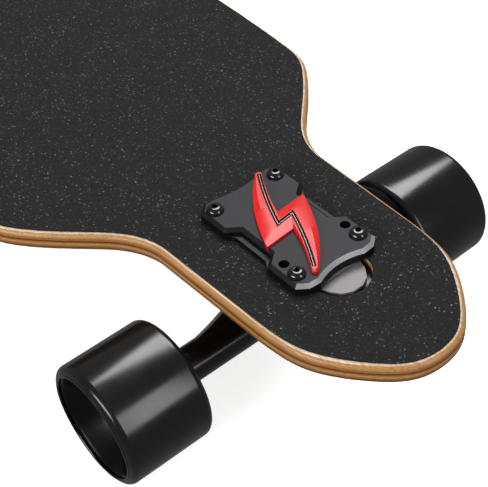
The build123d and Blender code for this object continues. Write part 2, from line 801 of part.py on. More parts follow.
def make_box():
    outer = rounded_box(box_length, box_width, box_corner, box_bottom, box_top)
    outer = fillet(outer.edges().group_by(Axis.Z)[0], box_floor_round)
    flange = rounded_box(box_length + 2 * flange_width, box_width + 2 * flange_width,
                         box_corner + flange_width, box_top - flange_thickness, box_top)
    inner = rounded_box(box_length - 2 * box_wall, box_width - 2 * box_wall,
                        box_corner - box_wall, box_bottom + box_wall, box_top + 1)
    inner = fillet(inner.edges().group_by(Axis.Z)[0], box_floor_round - box_wall)
    body = outer + flange - inner
    for place in box_screw_places():
        body -= place * rod(box_screw_r, box_top - flange_thickness - 1, box_top + 1)
    body -= Pos(port_x, 0, side_z) * rod(port_r + 1.5, side_y - 1, side_y + box_wall + 1, "Y")
    body -= Pos(button_x, 0, side_z) * rod(button_r + button_gap, side_y - 1, side_y + box_wall + 1, "Y")
    body -= Pos(controller_x, 0, box_bottom) * Box(sink_size[0], sink_size[1], 20)
    for side in (1, -1):
        hole = Pos(0, side * gland_spread, gland_z)
        body -= hole * rod(gland_r, -box_length / 2 - 1, -box_length / 2 + box_wall + 1, "X")
    return body


gland_z = box_bottom + box_depth * 0.5


def make_gasket():
    outer = rounded_box(box_length + 2 * flange_width, box_width + 2 * flange_width,
                        box_corner + flange_width, box_top, deck_bottom)
    inner = rounded_box(box_length - 2 * box_wall, box_width - 2 * box_wall,
                        box_corner - box_wall, box_top - 1, deck_bottom + 1)
    seal = outer - inner
    for place in box_screw_places():
        seal -= place * rod(box_screw_r, box_top - 1, deck_bottom + 1)
    return seal


def make_box_screw():
    low = box_top - flange_thickness
    head = rod(box_screw_head_r, low - box_screw_head_height, low)
    head = fillet(head.edges().group_by(Axis.Z)[0], 1.2)
    head -= hexagon(2.5, low - box_screw_head_height - 1, low - 1.2)
    return head + rod(box_screw_r, low, deck_bottom + box_screw_bite)


def make_cells():
    """Battery pack: wrapped round cells standing across the box, in one block."""
    pitch = 2 * cell_r + cell_gap
    start_x = battery_x - pitch * (cell_columns - 1) / 2
    low = box_bottom + box_wall + cell_gap
    cells = []
    for row in range(cell_rows):
        y = (row - (cell_rows - 1) / 2) * (cell_length + 2)
        for column in range(cell_columns):
            place = Pos(start_x + pitch * column, y, low + cell_r)
            cells.append(place * rod(cell_r, -cell_length / 2, cell_length / 2, "Y"))
    return cells




def make_tray():
    """Saddle that carries the cells."""
    pitch = 2 * cell_r + cell_gap
    length = pitch * cell_columns + 6
    low = box_bottom + box_wall
    width = cell_rows * (cell_length + 2) + 6
    body = Pos(battery_x, 0, low) * Box(length, width, cell_r * 0.9, align=(Align.CENTER, Align.CENTER, Align.MIN))
    for row in range(cell_rows):
        y = (row - (cell_rows - 1) / 2) * (cell_length + 2)
        for column in range(cell_columns):
            x = battery_x - pitch * (cell_columns - 1) / 2 + pitch * column
            place = Pos(x, y, low + cell_gap + cell_r)
            body -= place * rod(cell_r, -cell_length / 2, cell_length / 2, "Y")
    return body


def make_bms_board():
    pitch = 2 * cell_r + cell_gap
    low = box_bottom + box_wall + cell_gap + 2 * cell_r
    return Pos(battery_x, 0, low) * Box(pitch * 5, 60, board_thickness, align=(Align.CENTER, Align.CENTER, Align.MIN))


def make_sink():
    """Finned heat sink let into the box's floor, with its pad inside."""
    length, width, depth = sink_size
    shelf = box_bottom + box_wall
    base = Pos(0, 0, box_bottom + 0.6) * Box(length, width, shelf - box_bottom - 0.6,
                                            align=(Align.CENTER, Align.CENTER, Align.MIN))
    rim = Pos(0, 0, shelf) * Box(length + 8, width + 8, 2, align=(Align.CENTER, Align.CENTER, Align.MIN))
    body = base + rim
    pitch = width / sink_fins
    for k in range(sink_fins):
        y = -width / 2 + pitch * (k + 0.5)
        fin = Pos(0, y, box_bottom + 0.6) * Box(length, pitch * 0.45, depth,
                                                align=(Align.CENTER, Align.CENTER, Align.MAX))
        body += fin
    return Pos(controller_x, 0, 0) * body


def make_controller():
    length, width, height = controller_size
    low = box_bottom + box_wall + 2
    body = Pos(controller_x, 0, low) * Box(length, width, height, align=(Align.CENTER, Align.CENTER, Align.MIN))
    return chamfer(body.edges().group_by(Axis.Z)[-1], 1.5)


def make_gland(side):
    """Screwed cable gland in the rear wall, with its bore open for the motor lead."""
    wall = -box_length / 2
    body = ring(gland_r, gland_bore_r, wall - gland_length * 0.4, wall + box_wall + 4, "X")
    body += hexagon(2 * gland_flange_r * 0.92, wall - 5, wall, "X") - rod(gland_bore_r, wall - 6, wall + 1, "X")
    body += ring(gland_r - 1, gland_bore_r, wall - gland_length, wall - 5, "X")
    return Pos(0, side * gland_spread, gland_z) * body


def make_port():
    """Charge socket with a flange, a centre pin and two hinge ears."""
    sleeve = ring(port_r + 1.5, port_r, side_y, side_y + port_depth, "Y")
    back = rod(port_r + 1.5, side_y + port_depth - 2, side_y + port_depth, "Y")
    pin = rod(port_pin_r, side_y + 4, side_y + port_depth - 2, "Y")
    flange = ring(port_flange_r, port_r, side_y - port_flange, side_y, "Y")
    body = sleeve + back + pin + flange
    for s in (1, -1):
        ear = Pos(s * 6.0, hinge_y, hinge_up) * rod(hinge_r, -1.2, 1.2, "X")
        link = Pos(s * 6.0, hinge_y, hinge_up) * Box(2.4, side_y - port_flange - hinge_y + 0.8, 2 * hinge_r,
                                                     align=(Align.CENTER, Align.MIN, Align.CENTER))
        tab = Pos(s * 6.0, side_y - port_flange, hinge_up + hinge_r) * Box(
            2.4, port_flange, hinge_r + hinge_up - 3, align=(Align.CENTER, Align.MIN, Align.MAX))
        body += ear + link + tab
        body -= Pos(s * 6.0, hinge_y, hinge_up) * rod(hinge_pin_r, -3, 3, "X")
    return Pos(port_x, 0, side_z) * body


hinge_y = side_y - port_flange - cap_gap - cap_thickness / 2
hinge_up = port_flange_r + 0.4


def make_port_cap():
    """Flap over the charge socket, with a knuckle and hinge pin."""
    front = side_y - port_flange - cap_gap - cap_thickness
    disc = rod(port_flange_r - 1.4, front, front + cap_thickness, "Y")
    neck = Pos(0, front, 3) * Box(7, cap_thickness, hinge_up - 3, align=(Align.CENTER, Align.MIN, Align.MIN))
    knuckle = Pos(0, hinge_y, hinge_up) * rod(cap_thickness / 2 + cap_gap / 2, -4.4, 4.4, "X")
    pin = Pos(0, hinge_y, hinge_up) * rod(hinge_pin_r - running_gap, -7.2, 7.2, "X")
    lip = Pos(0, front, -port_flange_r + 2.6) * Box(5, cap_thickness, 3.4, align=(Align.CENTER, Align.MIN, Align.MAX))
    return Pos(port_x, 0, side_z) * (disc + neck + knuckle + pin + lip)


def make_button():
    """Power button: domed face, skirt in the wall and a flange that stops it inside."""
    inner = side_y + box_wall
    body = rod(button_r, side_y - button_proud, inner + 0.3, "Y")
    outer_edges = body.edges().filter_by(GeomType.CIRCLE).group_by(Axis.Y)[0]
    body = fillet(outer_edges, 0.8)
    body += rod(button_flange_r, inner + 0.3, inner + 1.8, "Y")
    return Pos(button_x, 0, side_z) * body


def make_button_switch():
    """Sealed push switch behind the button, on its bracket."""
    start = side_y + box_wall + 1.8 + button_travel + 0.3
    body = rod(4.0, start, start + 6, "Y")
    bracket = Pos(0, start + 6, -side_z + box_bottom + box_wall) * Box(
        16, 2, side_z - box_bottom - box_wall + 5, align=(Align.CENTER, Align.MIN, Align.MIN))
    return Pos(button_x, 0, side_z) * (body + bracket)


# ---------------------------------------------------------------------------
# Build every sub-part
# ---------------------------------------------------------------------------
save("deck", make_deck())
save("grip_tape", make_grip())
save("deck_screws", [on_truck(p * make_deck_screw(), end) for end in (1, -1) for p in bolt_places()])
save("lock_nuts", [on_truck(p * make_lock_nut(), end) for end in (1, -1) for p in bolt_places()])
save("boss_screws", [on_truck(p * make_fixing(), end) for end in (1, -1) for p in fixing_places()])
save("kingpin_nuts", [on_truck(make_kingpin_nut(), end) for end in (1, -1)])
save("cup_washers", [on_truck(make_cup_washer(s), end) for end in (1, -1) for s in (1, -1)])

for end, name in ((1, "front"), (-1, "rear")):
    save(f"{name}_cover_plate", on_truck(make_plate(), end))
    save(f"{name}_bolt_inlay", on_truck(make_inlay(), end))
    save(f"{name}_baseplate", on_truck(make_baseplate(), end))
    save(f"{name}_pivot_cup", on_truck(make_pivot_cup(), end))
    save(f"{name}_kingpin", on_truck(make_kingpin(), end))
    save(f"{name}_boardside_bushing", on_truck(make_bushing(1), end))
    save(f"{name}_roadside_bushing", on_truck(make_bushing(-1), end))

save("front_hanger", on_truck(make_hanger(hanger_half_front), 1))
save("rear_hanger", on_truck(make_hanger(hanger_half_rear), -1))
save("front_axle", on_truck(make_axle(front_nut_start()), 1))
save("rear_axle", on_truck(make_axle(motor_nut_start()), -1))
save("front_axle_nuts", [on_truck(on_axle(make_axle_nut(front_nut_start()), s), 1) for s in (1, -1)])
save("rear_axle_nuts", [on_truck(on_axle(make_axle_nut(motor_nut_start()), s), -1) for s in (1, -1)])
save("front_speed_washers",
     [on_truck(on_axle(w, s), 1) for s in (1, -1) for w in make_speed_washers(front_low, front_high)])
spacer = ring(spacer_r, axle_r, front_low + bearing_width + running_gap, front_high - bearing_width - running_gap, "Y")
save("front_bearing_spacers", [on_truck(on_axle(spacer, s), 1) for s in (1, -1)])
save("rear_stators", [on_truck(on_axle(make_stator(), s), -1) for s in (1, -1)])
save("rear_windings", [on_truck(on_axle(c, s), -1) for s in (1, -1) for c in make_windings()])

front_tyre = make_tyre(core_r, wheel_width / 2 - front_high, wheel_width / 2 + front_low, 21.0)
rear_tyre = make_tyre(tyre_seat_r, wheel_width / 2 - can_half, wheel_width / 2 - can_half, tyre_seat_r + 1.5)
front_bearings = make_bearing(front_low) + make_bearing(front_high - bearing_width)
rear_bearings = make_bearing(motor_bearing_low) + make_bearing(motor_bearing_high)
for side, name in ((1, "left"), (-1, "right")):
    # +Y is the left side of the board; the rear truck is turned round, so its sides swap.
    save(f"front_{name}_tyre", on_truck(on_axle(front_tyre, side), 1))
    save(f"front_{name}_core", on_truck(on_axle(make_core(), side), 1))
    save(f"front_{name}_bearings", [on_truck(on_axle(b, side), 1) for b in front_bearings])
    save(f"rear_{name}_tyre", on_truck(on_axle(rear_tyre, -side), -1))
    save(f"rear_{name}_rotor_can", on_truck(on_axle(make_rotor_can(), -side), -1))
    save(f"rear_{name}_motor_cover", on_truck(on_axle(make_end_cover(), -side), -1))
    save(f"rear_{name}_magnets", [on_truck(on_axle(m, -side), -1) for m in make_magnets()])
    save(f"rear_{name}_bearings", [on_truck(on_axle(b, -side), -1) for b in rear_bearings])

save("electronics_box", make_box())
save("box_gasket", make_gasket())
save("box_screws", [p * make_box_screw() for p in box_screw_places()])
save("battery_cells", make_cells())
save("battery_tray", make_tray())
save("bms_board", make_bms_board())
save("heat_sink", make_sink())
save("motor_controller", make_controller())
save("cable_glands", [make_gland(s) for s in (1, -1)])
save("charge_port", make_port())
save("charge_cap", make_port_cap())
save("power_button", make_button())
save("button_switch", make_button_switch())
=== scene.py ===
"""Electric longboard: finishes, fine meshes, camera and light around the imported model."""

from __future__ import annotations

import json
import logging
import math
from dataclasses import dataclass
from enum import Enum

import bmesh
import bpy
from mathutils import Matrix, Vector

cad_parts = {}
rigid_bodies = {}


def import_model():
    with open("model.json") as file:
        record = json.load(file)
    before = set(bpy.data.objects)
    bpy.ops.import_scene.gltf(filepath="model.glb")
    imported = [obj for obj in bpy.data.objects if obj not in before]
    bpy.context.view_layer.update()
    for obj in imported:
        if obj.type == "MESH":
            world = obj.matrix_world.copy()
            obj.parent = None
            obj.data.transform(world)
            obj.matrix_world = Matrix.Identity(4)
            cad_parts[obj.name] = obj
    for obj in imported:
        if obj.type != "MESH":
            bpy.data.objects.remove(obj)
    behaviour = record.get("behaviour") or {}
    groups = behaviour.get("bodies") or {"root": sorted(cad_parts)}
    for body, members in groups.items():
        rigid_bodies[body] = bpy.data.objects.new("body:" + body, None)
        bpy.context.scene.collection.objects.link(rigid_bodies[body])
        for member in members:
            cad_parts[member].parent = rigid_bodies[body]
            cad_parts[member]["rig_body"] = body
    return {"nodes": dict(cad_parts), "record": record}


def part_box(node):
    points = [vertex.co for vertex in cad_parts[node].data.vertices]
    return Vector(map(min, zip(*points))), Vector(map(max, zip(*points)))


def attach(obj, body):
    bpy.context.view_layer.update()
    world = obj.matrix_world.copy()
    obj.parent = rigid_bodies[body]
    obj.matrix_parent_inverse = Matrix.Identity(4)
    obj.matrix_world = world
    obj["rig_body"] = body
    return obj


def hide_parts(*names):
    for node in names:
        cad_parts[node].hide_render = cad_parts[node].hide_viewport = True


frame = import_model()

LOG = logging.getLogger("longboard")
MM = 0.001
Point = tuple[float, float]
Colour = tuple[float, float, float]


# ---------------------------------------------------------------------------
# Shader maths
# ---------------------------------------------------------------------------
class Sock:
    """A value socket that takes part in Python expressions by adding Math nodes."""

    def __init__(self, graph: "Graph", link: bpy.types.NodeSocket) -> None:
        """Wrap one output socket.

        Args:
            graph: The graph that new nodes go into.
            link: The output socket.
        """
        self.graph = graph
        self.link = link

    def _math(self, operation: str, first: object, second: object = None) -> "Sock":
        """Add one Math node and return its result."""
        values = {0: first} if second is None else {0: first, 1: second}
        return self.graph.node("ShaderNodeMath", {"operation": operation}, values)

    def __add__(self, other: object) -> "Sock":
        """self + other."""
        return self._math("ADD", self, other)

    __radd__ = __add__

    def __sub__(self, other: object) -> "Sock":
        """self - other."""
        return self._math("SUBTRACT", self, other)

    def __rsub__(self, other: object) -> "Sock":
        """other - self."""
        return self._math("SUBTRACT", other, self)

    def __mul__(self, other: object) -> "Sock":
        """self * other."""
        return self._math("MULTIPLY", self, other)

    __rmul__ = __mul__

    def __truediv__(self, other: object) -> "Sock":
        """self / other."""
        return self._math("DIVIDE", self, other)

    def power(self, other: object) -> "Sock":
        """self raised to other."""
        return self._math("POWER", self, other)

    def above(self, edge: float) -> "Sock":
        """1 where the value is over an edge, else 0."""
        return self._math("GREATER_THAN", self, edge)

    def size(self) -> "Sock":
        """The value without its sign."""
        return self._math("ABSOLUTE", self)

    def sign(self) -> "Sock":
        """-1, 0 or 1, as the value is under, at or over zero."""
        return self._math("SIGN", self)

    def span(self, low: float, high: float) -> "Sock":
        """The value mapped from low..high to 0..1 and held there."""
        values = {0: self, 1: low, 2: high, 3: 0.0, 4: 1.0}
        return self.graph.node("ShaderNodeMapRange", {"clamp": True}, values)


class Graph:
    """A material's node tree, with one method that adds any node."""

    def __init__(self, name: str) -> None:
        """Start a material with a Principled shader.

        Args:
            name: The material's name.
        """
        self.material = bpy.data.materials.new(name)
        self.material.use_nodes = True
        self.tree = self.material.node_tree
        self.shader = self.tree.nodes["Principled BSDF"]
        self.place = self.node("ShaderNodeTexCoord", {}, {}, "Object")

    def node(self, kind: str, settings: dict, values: dict, output: object = 0) -> Sock:
        """Add a node of any type.

        Args:
            kind: The node's type.
            settings: Its properties, set first; "stops" gives a ramp's colours.
            values: A value, a Sock or a colour for each input.
            output: The output to return, by name or number.

        Returns:
            The wrapped output socket.
        """
        made = self.tree.nodes.new(kind)
        for key, value in settings.items():
            if key == "stops":
                self._stops(made.color_ramp, value)
            else:
                setattr(made, key, value)
        for key, value in values.items():
            if isinstance(value, Sock):
                self.tree.links.new(value.link, made.inputs[key])
            else:
                made.inputs[key].default_value = value
        return Sock(self, made.outputs[output])

    @staticmethod
    def _stops(ramp: bpy.types.ColorRamp, stops: list[tuple[float, Colour]]) -> None:
        """Fill a colour ramp.

        Args:
            ramp: The node's ramp.
            stops: A position and a colour for each stop.
        """
        while len(ramp.elements) < len(stops):
            ramp.elements.new(1.0)
        for element, (position, colour) in zip(ramp.elements, stops):
            element.position = position
            element.color = (*colour, 1.0)

    def split(self, vector: Sock) -> tuple[Sock, Sock, Sock]:
        """The three parts of a vector."""
        first = self.node("ShaderNodeSeparateXYZ", {}, {0: vector}, "X")
        outputs = first.link.node.outputs
        return first, Sock(self, outputs["Y"]), Sock(self, outputs["Z"])

    def stretch(self, scale: tuple[float, float, float]) -> Sock:
        """Object coordinates scaled along each axis."""
        return self.node("ShaderNodeMapping", {}, {"Vector": self.place, "Scale": scale})

    def noise(self, scale: float, detail: float = 2.0, vector: Sock | None = None) -> Sock:
        """Noise between 0 and 1."""
        values = {"Vector": vector or self.place, "Scale": scale, "Detail": detail}
        return self.node("ShaderNodeTexNoise", {}, values)

    def grains(self, scale: float, output: str = "Distance") -> Sock:
        """Cells of a Voronoi texture: their distance or their random colour."""
        return self.node("ShaderNodeTexVoronoi", {}, {"Vector": self.place, "Scale": scale}, output)

    def bands(self, value: Sock, stops: list[tuple[float, Colour]]) -> Sock:
        """A colour ramp with hard steps.

        Args:
            value: Where on the ramp each point is.
            stops: A position and a colour for each band.

        Returns:
            The colour.
        """
        made = self.node("ShaderNodeValToRGB", {"stops": stops}, {0: value})
        made.link.node.color_ramp.interpolation = "CONSTANT"
        return made

    def mix(self, factor: object, first: object, second: object, blend: str = "MIX") -> Sock:
        """Mix two colours.

        Args:
            factor: 0 for the first colour, 1 for the second.
            first: A colour or a Sock.
            second: A colour or a Sock.
            blend: The Mix node's blend type.

        Returns:
            The mixed colour.
        """
        made = self.tree.nodes.new("ShaderNodeMix")
        made.data_type = "RGBA"
        made.blend_type = blend
        sockets = (made.inputs["Factor"], made.inputs[6], made.inputs[7])
        for socket, value in zip(sockets, (factor, first, second)):
            if isinstance(value, Sock):
                self.tree.links.new(value.link, socket)
            elif isinstance(value, tuple):
                socket.default_value = (*value, 1.0)
            else:
                socket.default_value = value
        return Sock(self, made.outputs[2])

    def bump(self, height: Sock, strength: float, depth: float) -> Sock:
        """A bump from a height, with its depth in metres."""
        values = {"Height": height, "Strength": strength, "Distance": depth}
        return self.node("ShaderNodeBump", {}, values, "Normal")

    def finish(self, inputs: dict) -> bpy.types.Material:
        """Set or link the shader's inputs.

        Args:
            inputs: A number, a colour or a Sock for each input's name.

        Returns:
            The material.
        """
        for key, value in inputs.items():
            if isinstance(value, Sock):
                self.tree.links.new(value.link, self.shader.inputs[key])
            elif isinstance(value, tuple):
                self.shader.inputs[key].default_value = (*value, 1.0)
            else:
                self.shader.inputs[key].default_value = value
        return self.material


# ---------------------------------------------------------------------------
# Finishes
# ---------------------------------------------------------------------------
@dataclass(frozen=True)
class Coating:
    """A paint, metal or plastic: one colour with fine variation, and a fine or cast texture."""

    name: str
    colour: Colour
    roughness: float
    metallic: float = 0.0
    coat: float = 0.0
    grain_scale: float = 2500.0
    grain_depth: float = 0.00002
    cloud: float = 0.10
    smear: float = 0.05
    specular: float = 0.5

    def build(self) -> bpy.types.Material:
        """Make the finish.

        Returns:
            The material.
        """
        graph = Graph(self.name)
        clouds = graph.noise(38.0, 4.0)
        grain = graph.noise(self.grain_scale, 3.0)
        dark = tuple(c * (1 - self.cloud) for c in self.colour)
        light = tuple(min(1.0, c * (1 + self.cloud)) for c in self.colour)
        return graph.finish({
            "Base Color": graph.mix(clouds * 0.7 + grain * 0.3, dark, light),
            "Roughness": graph.noise(60.0, 5.0) * (2 * self.smear) + (self.roughness - self.smear),
            "Metallic": self.metallic,
            "Coat Weight": self.coat,
            "Coat Roughness": 0.06,
            "Specular IOR Level": self.specular,
            "Normal": graph.bump(grain, 0.6, self.grain_depth),
        })


@dataclass(frozen=True)
class Grit:
    """Grip tape: dark mineral grains, a few of which catch the light as painted glints, light grey and less
    rough.
    """

    name: str = "grip_grit"
    cell: float = 1500.0
    base: Colour = (0.0064, 0.0064, 0.0066)
    # Painted highlight: the light grey of the glinting grains.
    spark: Colour = (0.25, 0.25, 0.253)

    def build(self) -> bpy.types.Material:
        """Make the finish.

        Returns:
            The material.
        """
        graph = Graph(self.name)
        pick, second, _ = graph.split(graph.grains(self.cell, "Color"))
        relief = graph.grains(self.cell)
        clouds = graph.noise(45.0, 4.0)
        worn = graph.noise(6.0, 5.0)
        pale = tuple(3.7 * c for c in self.base)
        ground = graph.mix(second * 0.55 + clouds * 0.25 + worn * 0.2, self.base, pale)
        # Painted glints: a few cells get the light grey and less roughness.
        sparks = pick.span(0.82, 1.0).power(4.0) * second.span(0.2, 1.0)
        return graph.finish({
            "Base Color": graph.mix(sparks, ground, self.spark),
            "Roughness": 0.90 - 0.40 * sparks,
            "Specular IOR Level": 0.22,
            "Normal": graph.bump(relief * (0.4 + second), 0.9, 0.00040),
        })


@dataclass(frozen=True)
class Plies:
    """Laminated deck: plies along its edge and grain along its faces."""

    bottom: float
    top: float
    name: str = "laminated_wood"

    def build(self) -> bpy.types.Material:
        """Make the finish.

        Returns:
            The material.
        """
        graph = Graph(self.name)
        _, _, height = graph.split(graph.place)
        wander = (graph.noise(14.0, 2.0, graph.stretch((1, 1, 0.2))) - 0.5) * 0.0007
        level = (height + wander - self.bottom) / (self.top - self.bottom)
        tan = (0.56, 0.29, 0.105)
        brown = (0.17, 0.055, 0.010)
        orange = (0.44, 0.185, 0.045)
        yellow = (0.62, 0.36, 0.13)
        cream = (0.86, 0.72, 0.54)
        bands = graph.bands(level, [
            (0.0, tan), (0.12, orange), (0.22, brown), (0.30, orange), (0.40, yellow),
            (0.52, orange), (0.60, brown), (0.68, orange), (0.80, tan), (0.962, cream),
        ])
        fibre = graph.noise(30.0, 8.0, graph.stretch((1.2, 30.0, 60.0)))
        pores = graph.noise(90.0, 4.0, graph.stretch((0.8, 14.0, 14.0)))
        grained = graph.mix(fibre.span(0.35, 0.75) * 0.55, bands, (0.30, 0.15, 0.06), "MULTIPLY")
        shaded = graph.mix(pores.span(0.58, 0.72) * 0.45, grained, (0.16, 0.07, 0.025))
        return graph.finish({
            "Base Color": shaded,
            "Roughness": fibre * 0.20 + 0.30,
            "Coat Weight": 0.12,
            "Coat Roughness": 0.22,
            "Specular IOR Level": 0.35,
            "Normal": graph.bump(fibre, 0.35, 0.00012),
        })


@dataclass(frozen=True)
class Anodised:
    """Black anodised plate with a painted highlight, light grey, on its end chamfers and painted shade, a
    darker black, on its flanks and lower steps.
    """

    top: float
    end_x: float
    name: str = "black_anodised"
    black: Colour = (0.0195, 0.020, 0.0245)
    # Painted shade: the darker black of the side walls, the other chamfers and the lower steps.
    flank: Colour = (0.0035, 0.0035, 0.004)
    # Painted highlight: the light grey of the end chamfers.
    painted_highlight: Colour = (0.34, 0.34, 0.36)
    chamfer: float = 1.9 * MM
    margin: float = 0.4 * MM
    reach: float = 6.2 * MM
    level_lean: float = 0.95

    def build(self) -> bpy.types.Material:
        """Make the finish.

        Returns:
            The material.
        """
        graph = Graph(self.name)
        facing = graph.node("ShaderNodeNewGeometry", {}, {}, "Normal")
        lean_x, _, lean_z = graph.split(facing)
        along, _, height = graph.split(graph.place)
        # Painted highlight: outward-facing sloped faces near the plate's ends, close to its top, get a
        # light grey and a little metallic.
        outward = lean_x * along.sign()
        level = lean_z.above(self.level_lean)
        sloped = lean_z.above(0.35) * (1.0 - level)
        near_end = along.size().above(self.end_x - self.reach)
        end = outward.above(0.25) * sloped * near_end * height.above(self.top - self.chamfer - self.margin)
        # Painted shade: every face except the top face at full height gets the darker flank colour.
        side = 1.0 - level * height.above(self.top - self.chamfer)
        brushed = graph.noise(2600.0, 3.0)
        clouds = graph.noise(38.0, 4.0)
        face = graph.mix(clouds, tuple(0.92 * c for c in self.black), tuple(1.1 * c for c in self.black))
        dark = graph.mix(side, face, self.flank)
        lit = graph.mix(brushed, tuple(0.85 * c for c in self.painted_highlight), self.painted_highlight)
        return graph.finish({
            "Base Color": graph.mix(end, dark, lit),
            "Roughness": 0.52 - 0.10 * side + 0.06 * clouds,
            "Metallic": 0.25 * end,
            "Specular IOR Level": 0.26,
            "Normal": graph.bump(brushed, 0.5, 0.00001),
        })


@dataclass(frozen=True)
class BareTongue:
    """Casting, bare silver above a height on its tongue in the deck's window and black below it; the black
    is the casting's coat and also painted shade in the window's gap round the tongue.
    """

    level: float
    name: str = "cast_silver"
    silver: Colour = (0.22, 0.21, 0.213)
    # The black below the tongue: the coat's colour, also serving as painted shade in the window's gap.
    black: Colour = (0.004, 0.004, 0.0045)

    def build(self) -> bpy.types.Material:
        """Make the finish.

        Returns:
            The material.
        """
        graph = Graph(self.name)
        _, _, height = graph.split(graph.place)
        # Black below the level: the coat, and painted shade in the gap round the tongue.
        bare = height.above(self.level)
        grain = graph.noise(1100.0, 4.0)
        clouds = graph.noise(120.0, 3.0)
        metal = graph.mix(clouds * 0.6 + grain * 0.4, tuple(0.86 * c for c in self.silver),
                          tuple(1.12 * c for c in self.silver))
        return graph.finish({
            "Base Color": graph.mix(bare, self.black, metal),
            "Roughness": 0.24 + 0.30 * bare + 0.05 * clouds,
            "Metallic": 0.30 * bare,
            "Normal": graph.bump(grain, 0.5, 0.00005),
        })


@dataclass(frozen=True)
class Urethane:
    """Glossy black cast urethane with faint turning rings and handling haze."""

    name: str = "black_urethane"
    colour: Colour = (0.0045, 0.0045, 0.005)

    def build(self) -> bpy.types.Material:
        """Make the finish.

        Returns:
            The material.
        """
        graph = Graph(self.name)
        haze = graph.noise(55.0, 6.0)
        dust = graph.noise(900.0, 2.0)
        speck = dust.span(0.70, 0.78)
        return graph.finish({
            "Base Color": graph.mix(speck * 0.5, self.colour, (0.03, 0.03, 0.03)),
            "Roughness": haze * 0.20 + 0.10 + speck * 0.15,
            "Specular IOR Level": 0.5,
            "Normal": graph.bump(graph.noise(130.0, 3.0), 0.10, 0.00006),
        })


class Finish(Enum):
    """Coatings used as they are.

    Each gives its name, colour, roughness, metallic, coat, grain scale and grain depth, and may add how
    much its colour clouds, how much its roughness smears, and its specular level.
    """

    LACQUER = Coating("red_lacquer", (0.66, 0.010, 0.010), 0.32, 0.0, 0.08, 1500.0, 0.0000004,
                      cloud=0.06, smear=0.03, specular=0.33)
    GROOVE = Coating("black_groove", (0.002, 0.002, 0.002), 0.60, 0.0, 0.0, 1500.0, 0.000004, specular=0.12)
    SILVER_LINE = Coating("silver_line", (0.26, 0.25, 0.21), 0.38, 0.5, 0.0, 1500.0, 0.000004)
    POWDER = Coating("black_gloss_metal", (0.003, 0.003, 0.0033), 0.22, 0.0, 0.15, 700.0, 0.00003,
                     specular=0.35)
    SCREW = Coating("black_screw", (0.006, 0.006, 0.0065), 0.17, 0.2, 0.5, 2200.0, 0.000008)
    ZINC = Coating("zinc_steel", (0.50, 0.50, 0.52), 0.34, 0.9, 0.0, 1800.0, 0.00002)
    POLISHED = Coating("bearing_steel", (0.62, 0.62, 0.64), 0.16, 1.0, 0.0, 2400.0, 0.000005)
    # Painted shade: a darker, less shiny urethane for the wheel's dish than for its tread.
    DISH = Coating("shaded_dish_urethane", (0.0025, 0.0025, 0.0028), 0.30, 0.0, 0.0, 900.0, 0.00002, specular=0.18)
    CORE = Coating("black_core", (0.006, 0.006, 0.0065), 0.40, 0.0, 0.0, 1600.0, 0.00002)
    BUSHING = Coating("bushing_urethane", (0.030, 0.030, 0.033), 0.38, 0.0, 0.1, 900.0, 0.00003)
    CUP = Coating("cup_urethane", (0.015, 0.015, 0.015), 0.50, 0.0, 0.0, 900.0, 0.00004)
    MOULDED = Coating("black_abs", (0.013, 0.013, 0.014), 0.52, 0.0, 0.0, 1400.0, 0.00008)
    SEAL = Coating("seal_rubber", (0.010, 0.010, 0.010), 0.70, 0.0, 0.0, 1000.0, 0.00008)
    WRAP = Coating("cell_wrap", (0.02, 0.16, 0.36), 0.30, 0.0, 0.2, 700.0, 0.00001)
    TRAY = Coating("tray_plastic", (0.04, 0.04, 0.045), 0.55, 0.0, 0.0, 1200.0, 0.00005)
    BOARD = Coating("board_green", (0.015, 0.12, 0.05), 0.35, 0.0, 0.2, 1500.0, 0.00002)
    SINK = Coating("sink_aluminium", (0.10, 0.10, 0.105), 0.40, 0.8, 0.0, 1500.0, 0.00002)
    CASE = Coating("controller_case", (0.18, 0.18, 0.19), 0.45, 0.8, 0.0, 1500.0, 0.00003)
    CAN = Coating("motor_can", (0.018, 0.018, 0.020), 0.34, 0.3, 0.2, 1500.0, 0.00002)
    NICKEL = Coating("magnet_nickel", (0.55, 0.55, 0.56), 0.20, 1.0, 0.0, 1500.0, 0.00001)
    LAMINATION = Coating("stator_steel", (0.25, 0.25, 0.26), 0.45, 0.8, 0.0, 2500.0, 0.00003)
    COPPER = Coating("copper", (0.55, 0.24, 0.10), 0.30, 0.9, 0.2, 2500.0, 0.00004)


class Paintbox:
    """Makes each material once and puts it on objects."""

    tongue_sink: float = 2.2 * MM

    def __init__(self) -> None:
        """Read the deck's and the plate's heights, which the finishes follow."""
        low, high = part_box("deck")
        plate_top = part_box("front_cover_plate")[1]
        self.made: dict[str, bpy.types.Material] = {}
        self.special = {
            "laminated_wood": Plies(low[2], high[2]),
            "grip": Grit(),
            "black_urethane": Urethane(),
            "black_anodised": Anodised(plate_top[2], plate_top[0]),
            "cast_silver": BareTongue(high[2] - self.tongue_sink),
        }

    def get(self, slot: str) -> bpy.types.Material:
        """The material of one of the record's slots or of a named finish.

        Args:
            slot: The slot's or the finish's name.

        Returns:
            The material, made on first use.
        """
        if slot not in self.made:
            source = self.special.get(slot)
            if source is None:
                source = next(f.value for f in Finish if f.value.name == slot)
            self.made[slot] = source.build()
        return self.made[slot]

    def put(self, thing: bpy.types.Object, slot: str) -> None:
        """Give an object one material in its first slot.

        Args:
            thing: The object.
            slot: The material's name.
        """
        if thing.data.materials:
            thing.data.materials.clear()
        thing.data.materials.append(self.get(slot))


